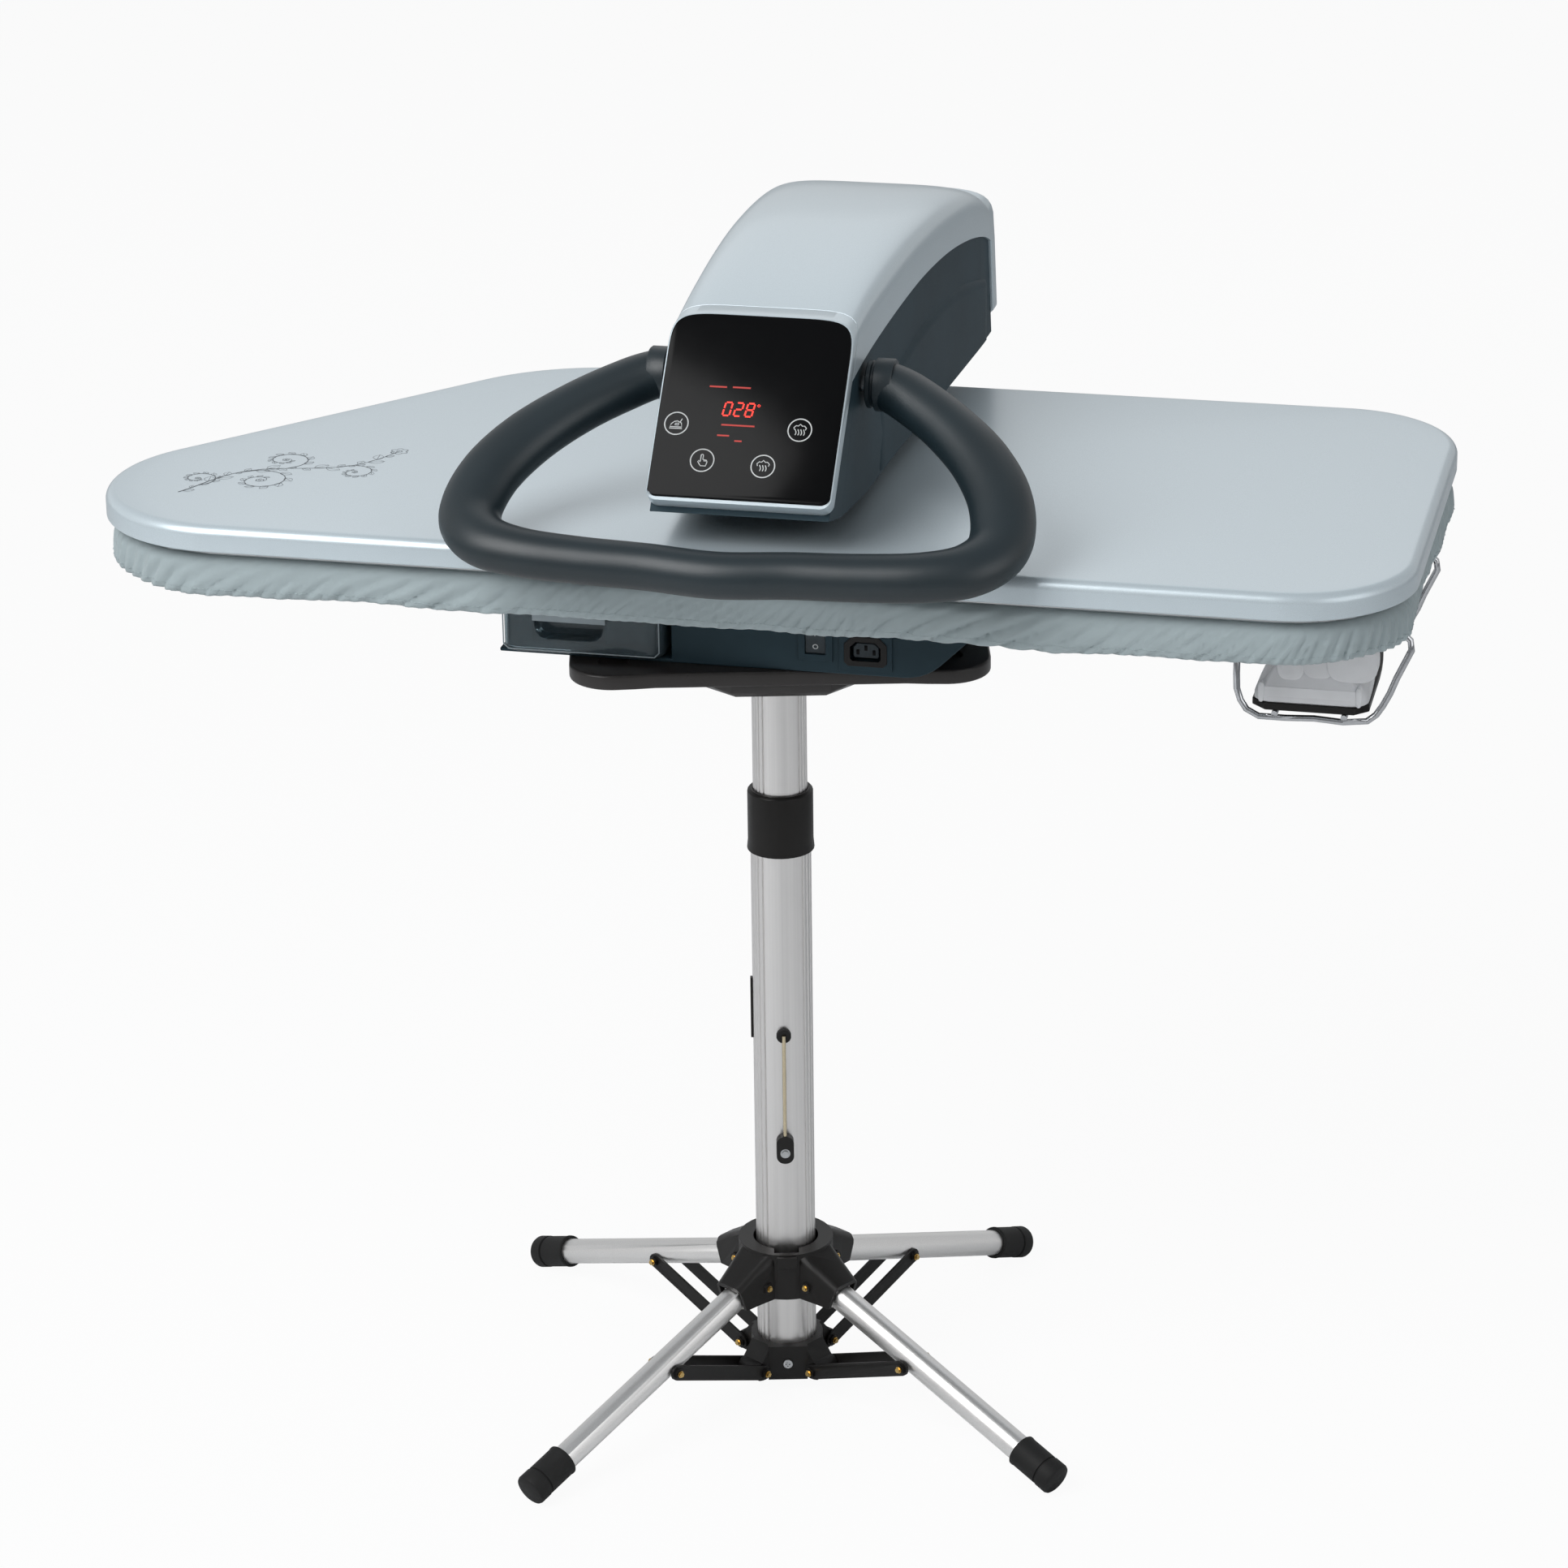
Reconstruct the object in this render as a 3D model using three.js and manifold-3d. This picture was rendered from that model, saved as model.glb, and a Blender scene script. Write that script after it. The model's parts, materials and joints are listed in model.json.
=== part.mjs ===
import * as THREE from 'three';
import { mergeVertices } from 'three/addons/utils/BufferGeometryUtils.js';
import Module from 'manifold-3d';

const wasm = await Module();
wasm.setup();

// Facets used round a shape: large rounds, small rounds and wires.
const roundSteps = 32;
const smallSteps = 14;
const wireSteps = 8;
const arcSteps = 7;

// A cut tool runs past the face that it opens by this much, and past everything where asked.
const overrun = 3;
const farSide = 400;
const weldGap = 0.0005;
const seatGap = 0.12;
const slideGap = 0.4;
const pinGap = 0.3;

// Board plan: a rounded rectangle with a tapered left end and a round nose.
const boardLength = 1010;
const boardDepth = 460;
const cornerRadius = 95;
const shoulderRadius = 150;
const noseRadius = 111;
const taperTurn = THREE.MathUtils.degToRad(50.4);
const halfLength = boardLength / 2;
const halfDepth = boardDepth / 2;

// Layers of the board and the shoe, at the lowest setting of the stand.
const panelUnder = 722;
const panelThick = 3;
const padThick = 25.2;
const padTop = panelUnder + panelThick + padThick;
const coverThick = 2.2;
const coverTop = padTop + coverThick;
const pressGap = 0.6;
const steamUnder = coverTop + pressGap;
const steamThick = 3.6;
const shoeLift = 5;
const shoeUnder = steamUnder + shoeLift;
const shoeDepth = 20;
const shoeTop = shoeUnder + shoeDepth;

// Top plate under the base unit, and the flange under it.
const baseHeight = 65;
const topPlateThick = 12;
const flangeDiscThick = 13;
const flangeCollar = 24;
const plateTop = panelUnder - baseHeight;
const plateFoot = plateTop - topPlateThick;
const flangeDiscUnder = plateFoot - flangeDiscThick;
const flangeFoot = flangeDiscUnder - flangeCollar;
const flangeRadius = 30;
const flangeBevel = 4;
const flangeDiscRadius = 62;
const flangeDiscEdge = 2;
const plateHalfX = 161;
const plateHalfY = 106;
const plateLobe = 30;
const plateWaist = 25;
const plateCorner = 40;

// Column: its place under the board, its tubes and the turn of the folding base.
const columnX = 0;
const columnY = -30;
const standTurn = THREE.MathUtils.degToRad(14);
const outerTubeRadius = 24;
const innerTubeRadius = 21.5;
const tubeWall = 1.8;
const fluteDepth = 0.7;
const fluteCount = 18;
const tubeShown = 104;
const tubeLap = 354;
const tubeSeat = 15;
const outerTubeFoot = 9;
const outerTubeTop = flangeFoot - tubeShown;
const innerTubeFoot = outerTubeTop - tubeLap;
const innerTubeTop = plateFoot - tubeSeat;

// Folding base: four legs on a sliding hub, each with a two-bar brace to the collar.
const legDrop = THREE.MathUtils.degToRad(19.2);
const pivotRadius = 40;
const legTubeRadius = 10.75;
const legTubeWall = 1.4;
const legTubeStart = 18.5;
const legPlug = 12;
const legTubeEnd = 262;
const capRadius = 13.5;
const capStart = 228;
const capEnd = 268;
const capFlat = 0.8;
const braceReach = 107.3;
const braceUnder = 4.5;
const pinRadius = 3;
const pinHead = 4.6;
const pinHeadThick = 1.8;
const tongueHalf = 7.6;
const tongueRadius = 8.5;
const tongueLap = 4;
const hubRingRadius = 38.5;
const hubBore = 26.5;
const hubBelow = 12;
const hubAbove = 28;
const channelHalf = 10;
const channelReach = 33.2;
const clipHalf = 8;
const clipBack = 33;
const clipFront = 41.5;
const clipFoot = 18;
const clipTop = 27;
const collarWall = 5.3;
const collarBelow = 10;
const collarAbove = 20;
const earHalf = 10.6;
const earRadius = 8;
const earShoulder = 30;
const collarBlockHalf = 16;
const collarBlockProud = 6.6;
const barInner = 11.4;
const barOuter = 13.6;
const barHalf = 6.2;
const boltRadius = 4.4;
const boltHead = 2.2;

const braceRise = legDrop + Math.atan(braceUnder / braceReach);
const hubZ = capRadius * Math.cos(legDrop) - capFlat + capEnd * Math.sin(legDrop);
const collarZ = hubZ - 2 * braceReach * Math.sin(braceRise);

// Fittings on the outer tube.
const sleeveLap = 34;
const sleeveRise = 17;
const sleeveFoot = outerTubeTop - sleeveLap;
const sleeveTop = outerTubeTop + sleeveRise;
const sleeveRadius = 26;
const sleeveFootRadius = 26.8;
const sleeveFlare = 8;
const sleeveEdge = 2;
const grommetDrop = 186.5;
const grommetZ = outerTubeTop - grommetDrop;
const grommetRadius = 6;
const grommetProud = 4;
const lockBossDrop = 98.5;
const lockBossZ = grommetZ - lockBossDrop;
const lockBossHalfX = 7;
const lockBossHalfZ = 12;
const lockBossRound = 6.5;
const lockBossProud = 8;
const lockBossDimple = 4;
const dimpleDrop = 3;
const dimpleDeep = 2;
const lockWireRadius = 1.5;
const wireSink = 1;
const stripBelow = 11.5;
const stripRise = 40.5;
const stripHalf = 2.6;
const stripProud = 1.8;

// Base unit under the board.
const baseLeft = -196;
const baseFloorRight = 120;
const baseRound = 40;
const baseSlope = THREE.MathUtils.degToRad(44);
const baseFrontInset = 100;
const baseRearInset = 80;
const baseFront = baseFrontInset - halfDepth;
const baseRear = halfDepth - baseRearInset;
const baseWall = 3;
const partition = 8;
const cavityInset = 26;
const tankProud = 7;
const tankDeep = 181;
const tankLeft = -193;
const tankRight = -66;
const tankFront = baseFront - tankProud;
const tankRear = tankFront + tankDeep;
const tankLift = 3.4;
const tankUnder = plateTop + tankLift;
const lidGap = 5;
const lidThick = 5;
const lidTop = panelUnder - lidGap;
const tankTop = lidTop - lidThick;
const tankWall = 2.4;
const tankRadius = 12;
const tankEdge = 2;

// Rocker switch and iron socket on the front of the base unit.
const rockerX = 52;
const rockerDrop = 38;
const rockerZ = panelUnder - rockerDrop;
const socketX = 91;
const socketDrop = 45;
const socketZ = panelUnder - socketDrop;

// Head: arm over the board, seen from its side as stations along Y.
const headX = 14;
const armFrontInset = 109;
const armRearReach = 88;
const hingeReach = 38;
const armFront = armFrontInset - halfDepth;
const armRear = halfDepth + armRearReach;
const panelFootReach = 88;
const panelFootRise = 47;
const panelFootY = armFront - panelFootReach;
const panelFootZ = shoeTop + panelFootRise;
const panelRunY = 79;
const panelRiseZ = 93;
const hingeRise = 37;
const hingeY = halfDepth + hingeReach;
const hingeZ = shoeTop + hingeRise;
const handleBack = 23;
const handleRise = 99;
const handleY = armFront + handleBack;
const handleZ = shoeTop + handleRise;

const colours = {
  silver: ['satin silver paint', 0xc3ccd4, 0.75, 0.32],
  slate: ['slate plastic', 0x39474e, 0.05, 0.5],
  charcoal: ['grained charcoal plastic', 0x2c3033, 0.0, 0.62],
  gloss: ['gloss black panel', 0x08090a, 0.0, 0.08],
  anodised: ['anodised aluminium', 0xc4c6c8, 0.85, 0.34],
  black: ['black plastic', 0x191817, 0.0, 0.55],
  rubber: ['black rubber', 0x141414, 0.0, 0.8],
  steel: ['zinc-plated steel', 0xa9abad, 0.9, 0.36],
  blackSteel: ['black painted steel', 0x1b1a19, 0.3, 0.45],
  chrome: ['chromed wire', 0xdcdfe2, 1.0, 0.12],
  brass: ['brass', 0xb9924c, 0.95, 0.3],
  cloth: ['grey-teal cotton', 0xa9b9bb, 0.0, 0.9],
  foam: ['felt pad', 0xd9d4c8, 0.0, 0.95],
  tank: ['clear tank plastic', 0x8fa3ad, 0.0, 0.12],
  white: ['white plastic', 0xe9ebec, 0.0, 0.35],
  blue: ['blue plastic', 0x2b6cb5, 0.0, 0.35],
  display: ['red display window', 0x3a0607, 0.0, 0.1],
};

const materials = {};
for (const [key, [name, colour, metalness, roughness]] of Object.entries(colours)) {
  const material = new THREE.MeshStandardMaterial({ color: colour, metalness, roughness });
  material.name = name;
  materials[key] = material;
}
materials.tank.transparent = true;
materials.tank.opacity = 0.55;

function signedVolume(positions, index) {
  let total = 0;
  const a = new THREE.Vector3();
  const b = new THREE.Vector3();
  const c = new THREE.Vector3();
  for (let i = 0; i < index.length; i += 3) {
    a.fromArray(positions, 3 * index[i]);
    b.fromArray(positions, 3 * index[i + 1]);
    c.fromArray(positions, 3 * index[i + 2]);
    total += a.dot(b.cross(c));
  }
  return total;
}

// A closed triangle mesh with welded corners, turned the right way out.
function toSolid(geometry) {
  const plain = geometry.clone();
  plain.deleteAttribute('normal');
  plain.deleteAttribute('uv');
  const welded = mergeVertices(plain, weldGap);
  const positions = Array.from(welded.attributes.position.array);
  const source = welded.index.array;
  const index = [];
  for (let i = 0; i < source.length; i += 3) {
    const [a, b, c] = [source[i], source[i + 1], source[i + 2]];
    if (a !== b && b !== c && c !== a) {
      index.push(a, b, c);
    }
  }
  if (signedVolume(positions, index) < 0) {
    for (let i = 0; i < index.length; i += 3) {
      [index[i], index[i + 1]] = [index[i + 1], index[i]];
    }
  }
  const vertProperties = new Float32Array(positions);
  const triVerts = new Uint32Array(index);
  return new wasm.Manifold(new wasm.Mesh({ numProp: 3, vertProperties, triVerts }));
}

function toGeometry(solid) {
  const mesh = solid.getMesh();
  const geometry = new THREE.BufferGeometry();
  const positions = new Float32Array(mesh.vertProperties);
  geometry.setAttribute('position', new THREE.BufferAttribute(positions, 3));
  geometry.setIndex(new THREE.BufferAttribute(new Uint32Array(mesh.triVerts), 1));
  geometry.computeVertexNormals();
  return geometry;
}

function addPiece(group, name, solid, material) {
  const piece = new THREE.Mesh(toGeometry(solid), material);
  piece.name = name;
  group.add(piece);
  return piece;
}

function joinAll(solids) {
  return solids.reduce((whole, next) => whole.add(next));
}

function boxGeometry(x0, x1, y0, y1, z0, z1) {
  const geometry = new THREE.BoxGeometry(x1 - x0, y1 - y0, z1 - z0);
  geometry.translate((x0 + x1) / 2, (y0 + y1) / 2, (z0 + z1) / 2);
  return geometry;
}

function box(x0, x1, y0, y1, z0, z1) {
  return toSolid(boxGeometry(x0, x1, y0, y1, z0, z1));
}

// A straight rod between two points.
function rodGeometry(from, to, radius, steps) {
  const start = new THREE.Vector3(...from);
  const end = new THREE.Vector3(...to);
  const way = end.clone().sub(start);
  const geometry = new THREE.CylinderGeometry(radius, radius, way.length(), steps);
  const up = new THREE.Vector3(0, 1, 0);
  geometry.applyQuaternion(new THREE.Quaternion().setFromUnitVectors(up, way.clone().normalize()));
  const middle = start.add(end).multiplyScalar(1 / 2);
  geometry.translate(middle.x, middle.y, middle.z);
  return geometry;
}

function rod(from, to, radius, steps) {
  return toSolid(rodGeometry(from, to, radius, steps));
}

function discX(x0, x1, y, z, radius, steps) {
  return rod([x0, y, z], [x1, y, z], radius, steps);
}

function discY(y0, y1, x, z, radius, steps) {
  return rod([x, y0, z], [x, y1, z], radius, steps);
}

function discZ(z0, z1, x, y, radius, steps) {
  return rod([x, y, z0], [x, y, z1], radius, steps);
}

// A plan outline raised from one height to another.
function prism(outline, z0, z1) {
  const shape = new THREE.Shape(outline.map(([x, y]) => new THREE.Vector2(x, y)));
  const geometry = new THREE.ExtrudeGeometry(shape, { depth: z1 - z0, bevelEnabled: false });
  geometry.translate(0, 0, z0);
  return toSolid(geometry);
}

// An outline in X and Z pushed along Y, and one in Y and Z pushed along X.
function prismY(outline, y0, y1) {
  const shape = new THREE.Shape(outline.map(([x, z]) => new THREE.Vector2(x, z)));
  const geometry = new THREE.ExtrudeGeometry(shape, { depth: y1 - y0, bevelEnabled: false });
  geometry.rotateX(Math.PI / 2);
  geometry.translate(0, y1, 0);
  return toSolid(geometry);
}

function prismX(outline, x0, x1) {
  const shape = new THREE.Shape(outline.map(([y, z]) => new THREE.Vector2(y, z)));
  const geometry = new THREE.ExtrudeGeometry(shape, { depth: x1 - x0, bevelEnabled: false });
  geometry.rotateY(Math.PI / 2);
  geometry.rotateX(Math.PI / 2);
  geometry.translate(x0, 0, 0);
  return toSolid(geometry);
}

// A profile of radius and height turned round the Z axis.
function lathe(profile, steps) {
  const points = profile.map(([radius, z]) => new THREE.Vector2(radius, z));
  const geometry = new THREE.LatheGeometry(points, steps);
  geometry.rotateX(Math.PI / 2);
  return toSolid(geometry);
}

// A skin over rings that have equal numbers of points, with a flat cap on each end.
function loft(rings) {
  const count = rings[0].length;
  const positions = [];
  const index = [];
  for (const ring of rings) {
    for (const point of ring) {
      positions.push(point[0], point[1], point[2]);
    }
  }
  for (let i = 0; i < rings.length - 1; i += 1) {
    for (let j = 0; j < count; j += 1) {
      const next = (j + 1) % count;
      const a = i * count + j;
      const b = i * count + next;
      const c = (i + 1) * count + j;
      const d = (i + 1) * count + next;
      index.push(a, b, d, a, d, c);
    }
  }
  const last = (rings.length - 1) * count;
  for (const [ring, base, flip] of [[rings[0], 0, true], [rings[rings.length - 1], last, false]]) {
    const normal = new THREE.Vector3();
    const p = new THREE.Vector3();
    const q = new THREE.Vector3();
    for (let j = 0; j < count; j += 1) {
      p.fromArray(ring[j]);
      q.fromArray(ring[(j + 1) % count]);
      normal.x += (p.y - q.y) * (p.z + q.z);
      normal.y += (p.z - q.z) * (p.x + q.x);
      normal.z += (p.x - q.x) * (p.y + q.y);
    }
    normal.normalize();
    const helper = Math.abs(normal.x) < 1 / 2 ? new THREE.Vector3(1, 0, 0) : new THREE.Vector3(0, 1, 0);
    const e1 = helper.cross(normal).normalize();
    const e2 = normal.clone().cross(e1);
    const flat = ring.map((point) => {
      const v = new THREE.Vector3(...point);
      return new THREE.Vector2(v.dot(e1), v.dot(e2));
    });
    for (const [i, j, k] of THREE.ShapeUtils.triangulateShape(flat, [])) {
      const ab = flat[j].clone().sub(flat[i]);
      const ac = flat[k].clone().sub(flat[i]);
      const turned = ab.cross(ac) < 0;
      if (turned !== flip) {
        index.push(base + i, base + k, base + j);
      } else {
        index.push(base + i, base + j, base + k);
      }
    }
  }
  const geometry = new THREE.BufferGeometry();
  geometry.setAttribute('position', new THREE.BufferAttribute(new Float32Array(positions), 3));
  geometry.setIndex(index);
  return toSolid(geometry);
}

function roundedRectangle(x0, x1, y0, y1, radius, steps) {
  const outline = [];
  const centres = [[x1 - radius, y1 - radius], [x0 + radius, y1 - radius]];
  centres.push([x0 + radius, y0 + radius], [x1 - radius, y0 + radius]);
  centres.forEach(([cx, cy], quarter) => {
    for (let i = 0; i <= steps; i += 1) {
      const angle = (quarter + i / steps) * Math.PI / 2;
      outline.push([cx + radius * Math.cos(angle), cy + radius * Math.sin(angle)]);
    }
  });
  return outline;
}

// A block with rounded upright edges and small bevels along its top and bottom.
function softBlock(x0, x1, y0, y1, z0, z1, radius, bevel) {
  const rings = [[bevel, z0], [0, z0 + bevel], [0, z1 - bevel], [bevel, z1]].map(([inset, z]) => {
    const r = radius - inset;
    const plan = roundedRectangle(x0 + inset, x1 - inset, y0 + inset, y1 - inset, r, 3);
    return plan.map(([x, y]) => [x, y, z]);
  });
  return loft(rings);
}

// Plan of the board at an inset from its edge, as arcs joined by straight runs.
const taperNormal = Math.PI / 2 + taperTurn;
const noseCentre = [noseRadius - halfLength, noseRadius - halfDepth];
const noseReach = noseCentre[0] * Math.cos(taperNormal) + noseCentre[1] * Math.sin(taperNormal);
const shoulderLeft = noseReach + noseRadius - shoulderRadius;
const shoulderY = halfDepth - shoulderRadius;
const shoulderX = (shoulderLeft - shoulderY * Math.sin(taperNormal)) / Math.cos(taperNormal);
const boardArcs = [
  [halfLength - cornerRadius, cornerRadius - halfDepth, cornerRadius, -Math.PI / 2, 0],
  [halfLength - cornerRadius, halfDepth - cornerRadius, cornerRadius, 0, Math.PI / 2],
  [shoulderX, shoulderY, shoulderRadius, Math.PI / 2, taperNormal],
  [noseCentre[0], noseCentre[1], noseRadius, taperNormal, 3 * Math.PI / 2],
];

function boardRing(inset, z, arcParts, runParts) {
  const ring = [];
  boardArcs.forEach(([cx, cy, radius, from, to], which) => {
    for (let i = 0; i <= arcParts; i += 1) {
      const angle = from + (to - from) * i / arcParts;
      const r = radius - inset;
      ring.push([cx + r * Math.cos(angle), cy + r * Math.sin(angle), z]);
    }
    const [nx, ny, nr, nfrom] = boardArcs[(which + 1) % boardArcs.length];
    const start = ring[ring.length - 1];
    const r = nr - inset;
    const end = [nx + r * Math.cos(nfrom), ny + r * Math.sin(nfrom), z];
    for (let i = 1; i < runParts[which]; i += 1) {
      const share = i / runParts[which];
      ring.push([start[0] + (end[0] - start[0]) * share, start[1] + (end[1] - start[1]) * share, z]);
    }
  });
  return ring;
}

const plainRuns = [1, 1, 1, 1];

function boardSolid(levels) {
  return loft(levels.map(([inset, z]) => boardRing(inset, z, arcSteps, plainRuns)));
}

const press = new THREE.Group();
press.name = 'steam_ironing_press';

const stand = new THREE.Group();
stand.name = 'stand';
stand.position.set(columnX, columnY, 0);
stand.rotation.z = standTurn;
press.add(stand);

// A fluted tube: shallow grooves all round, and a plain band toward the front where asked.
function flutedOutline(radius, bandHalf) {
  const outline = [];
  const perFlute = 4;
  const count = fluteCount * perFlute;
  for (let i = 0; i < count; i += 1) {
    const angle = 2 * Math.PI * i / count;
    const fromFront = Math.abs(Math.atan2(Math.cos(angle), -Math.sin(angle)));
    const groove = i % perFlute === 0 && fromFront > bandHalf ? fluteDepth : 0;
    outline.push([(radius - groove) * Math.cos(angle), (radius - groove) * Math.sin(angle)]);
  }
  return outline;
}

const bandHalfAngle = THREE.MathUtils.degToRad(24);
const outerTubeSolid = prism(flutedOutline(outerTubeRadius, 0), outerTubeFoot, outerTubeTop);
const outerBore = discZ(outerTubeFoot - overrun, outerTubeTop + overrun, 0, 0,
  outerTubeRadius - tubeWall, roundSteps);
addPiece(stand, 'outer_tube', outerTubeSolid.subtract(outerBore), materials.anodised);

const innerTubeSolid = prism(flutedOutline(innerTubeRadius, bandHalfAngle), innerTubeFoot, innerTubeTop);
const innerBore = discZ(innerTubeFoot - overrun, innerTubeTop + overrun, 0, 0,
  innerTubeRadius - tubeWall, roundSteps);
addPiece(stand, 'inner_tube', innerTubeSolid.subtract(innerBore), materials.anodised);

// Clamp sleeve: sits on the end of the outer tube and guides the inner one.
const sleeveSolid = lathe([
  [innerTubeRadius + pinGap, sleeveTop],
  [innerTubeRadius + pinGap, outerTubeTop],
  [outerTubeRadius + seatGap, outerTubeTop],
  [outerTubeRadius + seatGap, sleeveFoot],
  [sleeveFootRadius, sleeveFoot],
  [sleeveRadius, sleeveFoot + sleeveFlare],
  [sleeveRadius, sleeveTop - sleeveEdge],
  [sleeveRadius - sleeveEdge, sleeveTop],
  [innerTubeRadius + pinGap, sleeveTop],
], roundSteps);
addPiece(stand, 'clamp_sleeve', sleeveSolid, materials.black);

function turnedAbout(geometry, angle) {
  const turned = geometry.clone();
  turned.rotateZ(angle);
  return turned;
}

function turnedSolid(geometry, angle) {
  return toSolid(turnedAbout(geometry, angle));
}

// The four leg planes stand at equal turns, the first toward the right rear.
const legTurns = [0, 1, 2, 3].map((quarter) => Math.PI / 4 + quarter * Math.PI / 2);
const legNames = ['rear_right', 'rear_left', 'front_left', 'front_right'];

// Points of an arc about a centre.
function arcPoints(x, z, radius, from, to, steps) {
  const points = [];
  for (let i = 0; i <= steps; i += 1) {
    const angle = from + (to - from) * i / steps;
    points.push([x + radius * Math.cos(angle), z + radius * Math.sin(angle)]);
  }
  return points;
}

// A post on a leg plane: an outline of radius and height above a level, this wide each way.
function finSolid(outline, half, level, turn) {
  const rings = [-half, half].map((y) => outline.map(([r, z]) => [r, y, z + level]));
  return turnedSolid(toGeometry(loft(rings)), turn);
}

// Lower collar with one shouldered ear on each leg plane and a flat block in front.
const tubeSeatRadius = outerTubeRadius + seatGap;
const collarFace = tubeSeatRadius + collarWall;
let collarSolid = discZ(collarZ - collarBelow, collarZ + collarAbove, 0, 0, collarFace, roundSteps);
const earOutline = [[tubeSeatRadius, -earRadius], ...arcPoints(pivotRadius, 0, earRadius, -Math.PI / 2,
  Math.PI / 2, 6), [earShoulder, collarAbove], [tubeSeatRadius, collarAbove]];
const collarFront = tubeSeatRadius + collarBlockProud;
collarSolid = collarSolid.add(box(-collarBlockHalf, collarBlockHalf, -collarFront, 0,
  collarZ - collarBelow, collarZ + collarAbove));
for (const turn of legTurns) {
  collarSolid = collarSolid.add(finSolid(earOutline, earHalf, collarZ, turn));
}
for (const turn of legTurns) {
  const bore = rodGeometry([pivotRadius, -earHalf - overrun, collarZ],
    [pivotRadius, earHalf + overrun, collarZ], pinRadius + pinGap, smallSteps);
  collarSolid = collarSolid.subtract(turnedSolid(bore, turn));
}
const collarBore = discZ(collarZ - collarBelow - overrun, collarZ + collarAbove + overrun, 0, 0,
  tubeSeatRadius, roundSteps);
addPiece(stand, 'lower_collar', collarSolid.subtract(collarBore), materials.blackSteel);

const screwHead = 4;
const screwProud = 2.2;
const screwSlot = 1.2;
const screwSlotDeep = 1;
const screwRise = 5;
const screwZ = collarZ + screwRise;
let screwSolid = discY(-collarFront - screwProud, -collarFront, 0, screwZ, screwHead, smallSteps);
for (const [halfX, halfZ] of [[screwSlot / 2, screwHead / 2], [screwHead / 2, screwSlot / 2]]) {
  screwSolid = screwSolid.subtract(box(-halfX, halfX, -collarFront - screwProud - overrun,
    -collarFront - screwProud + screwSlotDeep, screwZ - halfZ, screwZ + halfZ));
}
addPiece(stand, 'collar_screw', screwSolid, materials.steel);

// Fittings on the front and the left of the outer tube.
const tubeClear = discZ(outerTubeFoot, outerTubeTop, 0, 0, tubeSeatRadius, roundSteps);
let grommetSolid = discY(-outerTubeRadius - grommetProud, -outerTubeRadius + overrun, 0, grommetZ,
  grommetRadius, smallSteps);
grommetSolid = grommetSolid.subtract(tubeClear);
grommetSolid = grommetSolid.subtract(discY(-outerTubeRadius - grommetProud - overrun,
  -outerTubeRadius + overrun, 0, grommetZ, lockWireRadius + seatGap, wireSteps));
addPiece(stand, 'lock_grommet', grommetSolid, materials.rubber);

const bossFace = -outerTubeRadius - lockBossProud;
const bossOutline = roundedRectangle(-lockBossHalfX, lockBossHalfX, lockBossZ - lockBossHalfZ,
  lockBossZ + lockBossHalfZ, lockBossRound, 6);
let bossSolid = prismY(bossOutline, bossFace, -outerTubeRadius + overrun);
bossSolid = bossSolid.subtract(tubeClear);
bossSolid = bossSolid.subtract(discY(bossFace - overrun, bossFace + dimpleDeep, 0,
  lockBossZ - dimpleDrop, lockBossDimple, smallSteps));
addPiece(stand, 'lock_boss', bossSolid, materials.black);

const wireRun = outerTubeRadius + grommetProud + lockWireRadius + seatGap;
const wireDown = rod([0, -wireRun, grommetZ + lockWireRadius],
  [0, -wireRun, lockBossZ + lockBossHalfZ + seatGap], lockWireRadius, wireSteps);
const wireIn = rod([0, -wireRun, grommetZ], [0, -outerTubeRadius - wireSink, grommetZ],
  lockWireRadius, wireSteps);
addPiece(stand, 'lock_wire', wireDown.add(wireIn), materials.brass);

const stripFoot = grommetZ - stripBelow;
let stripSolid = box(-outerTubeRadius - stripProud, -outerTubeRadius + overrun, -stripHalf, stripHalf,
  stripFoot, grommetZ + stripRise);
stripSolid = stripSolid.subtract(tubeClear);
addPiece(stand, 'tube_side_strip', stripSolid, materials.black);

// Spreader hub: a ring with an inner channel, a clip in front and a hood on each leg plane.
const hoodRounds = [0, 0.3, 0.75, 1];
const hoodCorner = 7;
function hoodRing([footR, topR, half, foot, top]) {
  const ring = [[footR, -half, hubZ + foot]];
  const side = hoodRounds.map((share) => {
    const angle = share * Math.PI / 2;
    return [half - hoodCorner * (1 - Math.cos(angle)), top - hoodCorner * (1 - Math.sin(angle))];
  });
  const up = side.map(([y, z]) => [footR + (topR - footR) * (z - foot) / (top - foot), y, hubZ + z]);
  ring.push(...up.map(([r, y, z]) => [r, -y, z]));
  ring.push(...up.reverse());
  ring.push([footR, half, hubZ + foot]);
  return ring;
}
// Hood stations: radius at the foot and at the top, half width, foot and top.
const hoodStations = [[22, 22, 20, -12, 28], [34, 34, 19, -12, 27], [50, 51, 16, -13, 17],
  [61, 68, 14.2, -14, 7]];
const hoodSolid = loft(hoodStations.map(hoodRing));
const tongueSlot = [tongueHalf + slideGap, pivotRadius - tongueRadius - 2 * slideGap,
  tongueRadius + 2 * slideGap];
const tubeSlotHalf = legTubeRadius + seatGap + slideGap;
const tubeSlot = [[51, -farSide], [76, -farSide], [76, -0.6], [51, 8.1]];
const tongueSlotEnd = 52;
const hoodPinHalf = 18;
let hubSolid = discZ(hubZ - hubBelow, hubZ + hubAbove, 0, 0, hubRingRadius, roundSteps);
hubSolid = hubSolid.add(box(-clipHalf, clipHalf, -clipFront, -clipBack, hubZ + clipFoot, hubZ + clipTop));
for (const turn of legTurns) {
  hubSolid = hubSolid.add(turnedSolid(toGeometry(hoodSolid), turn));
}
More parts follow.
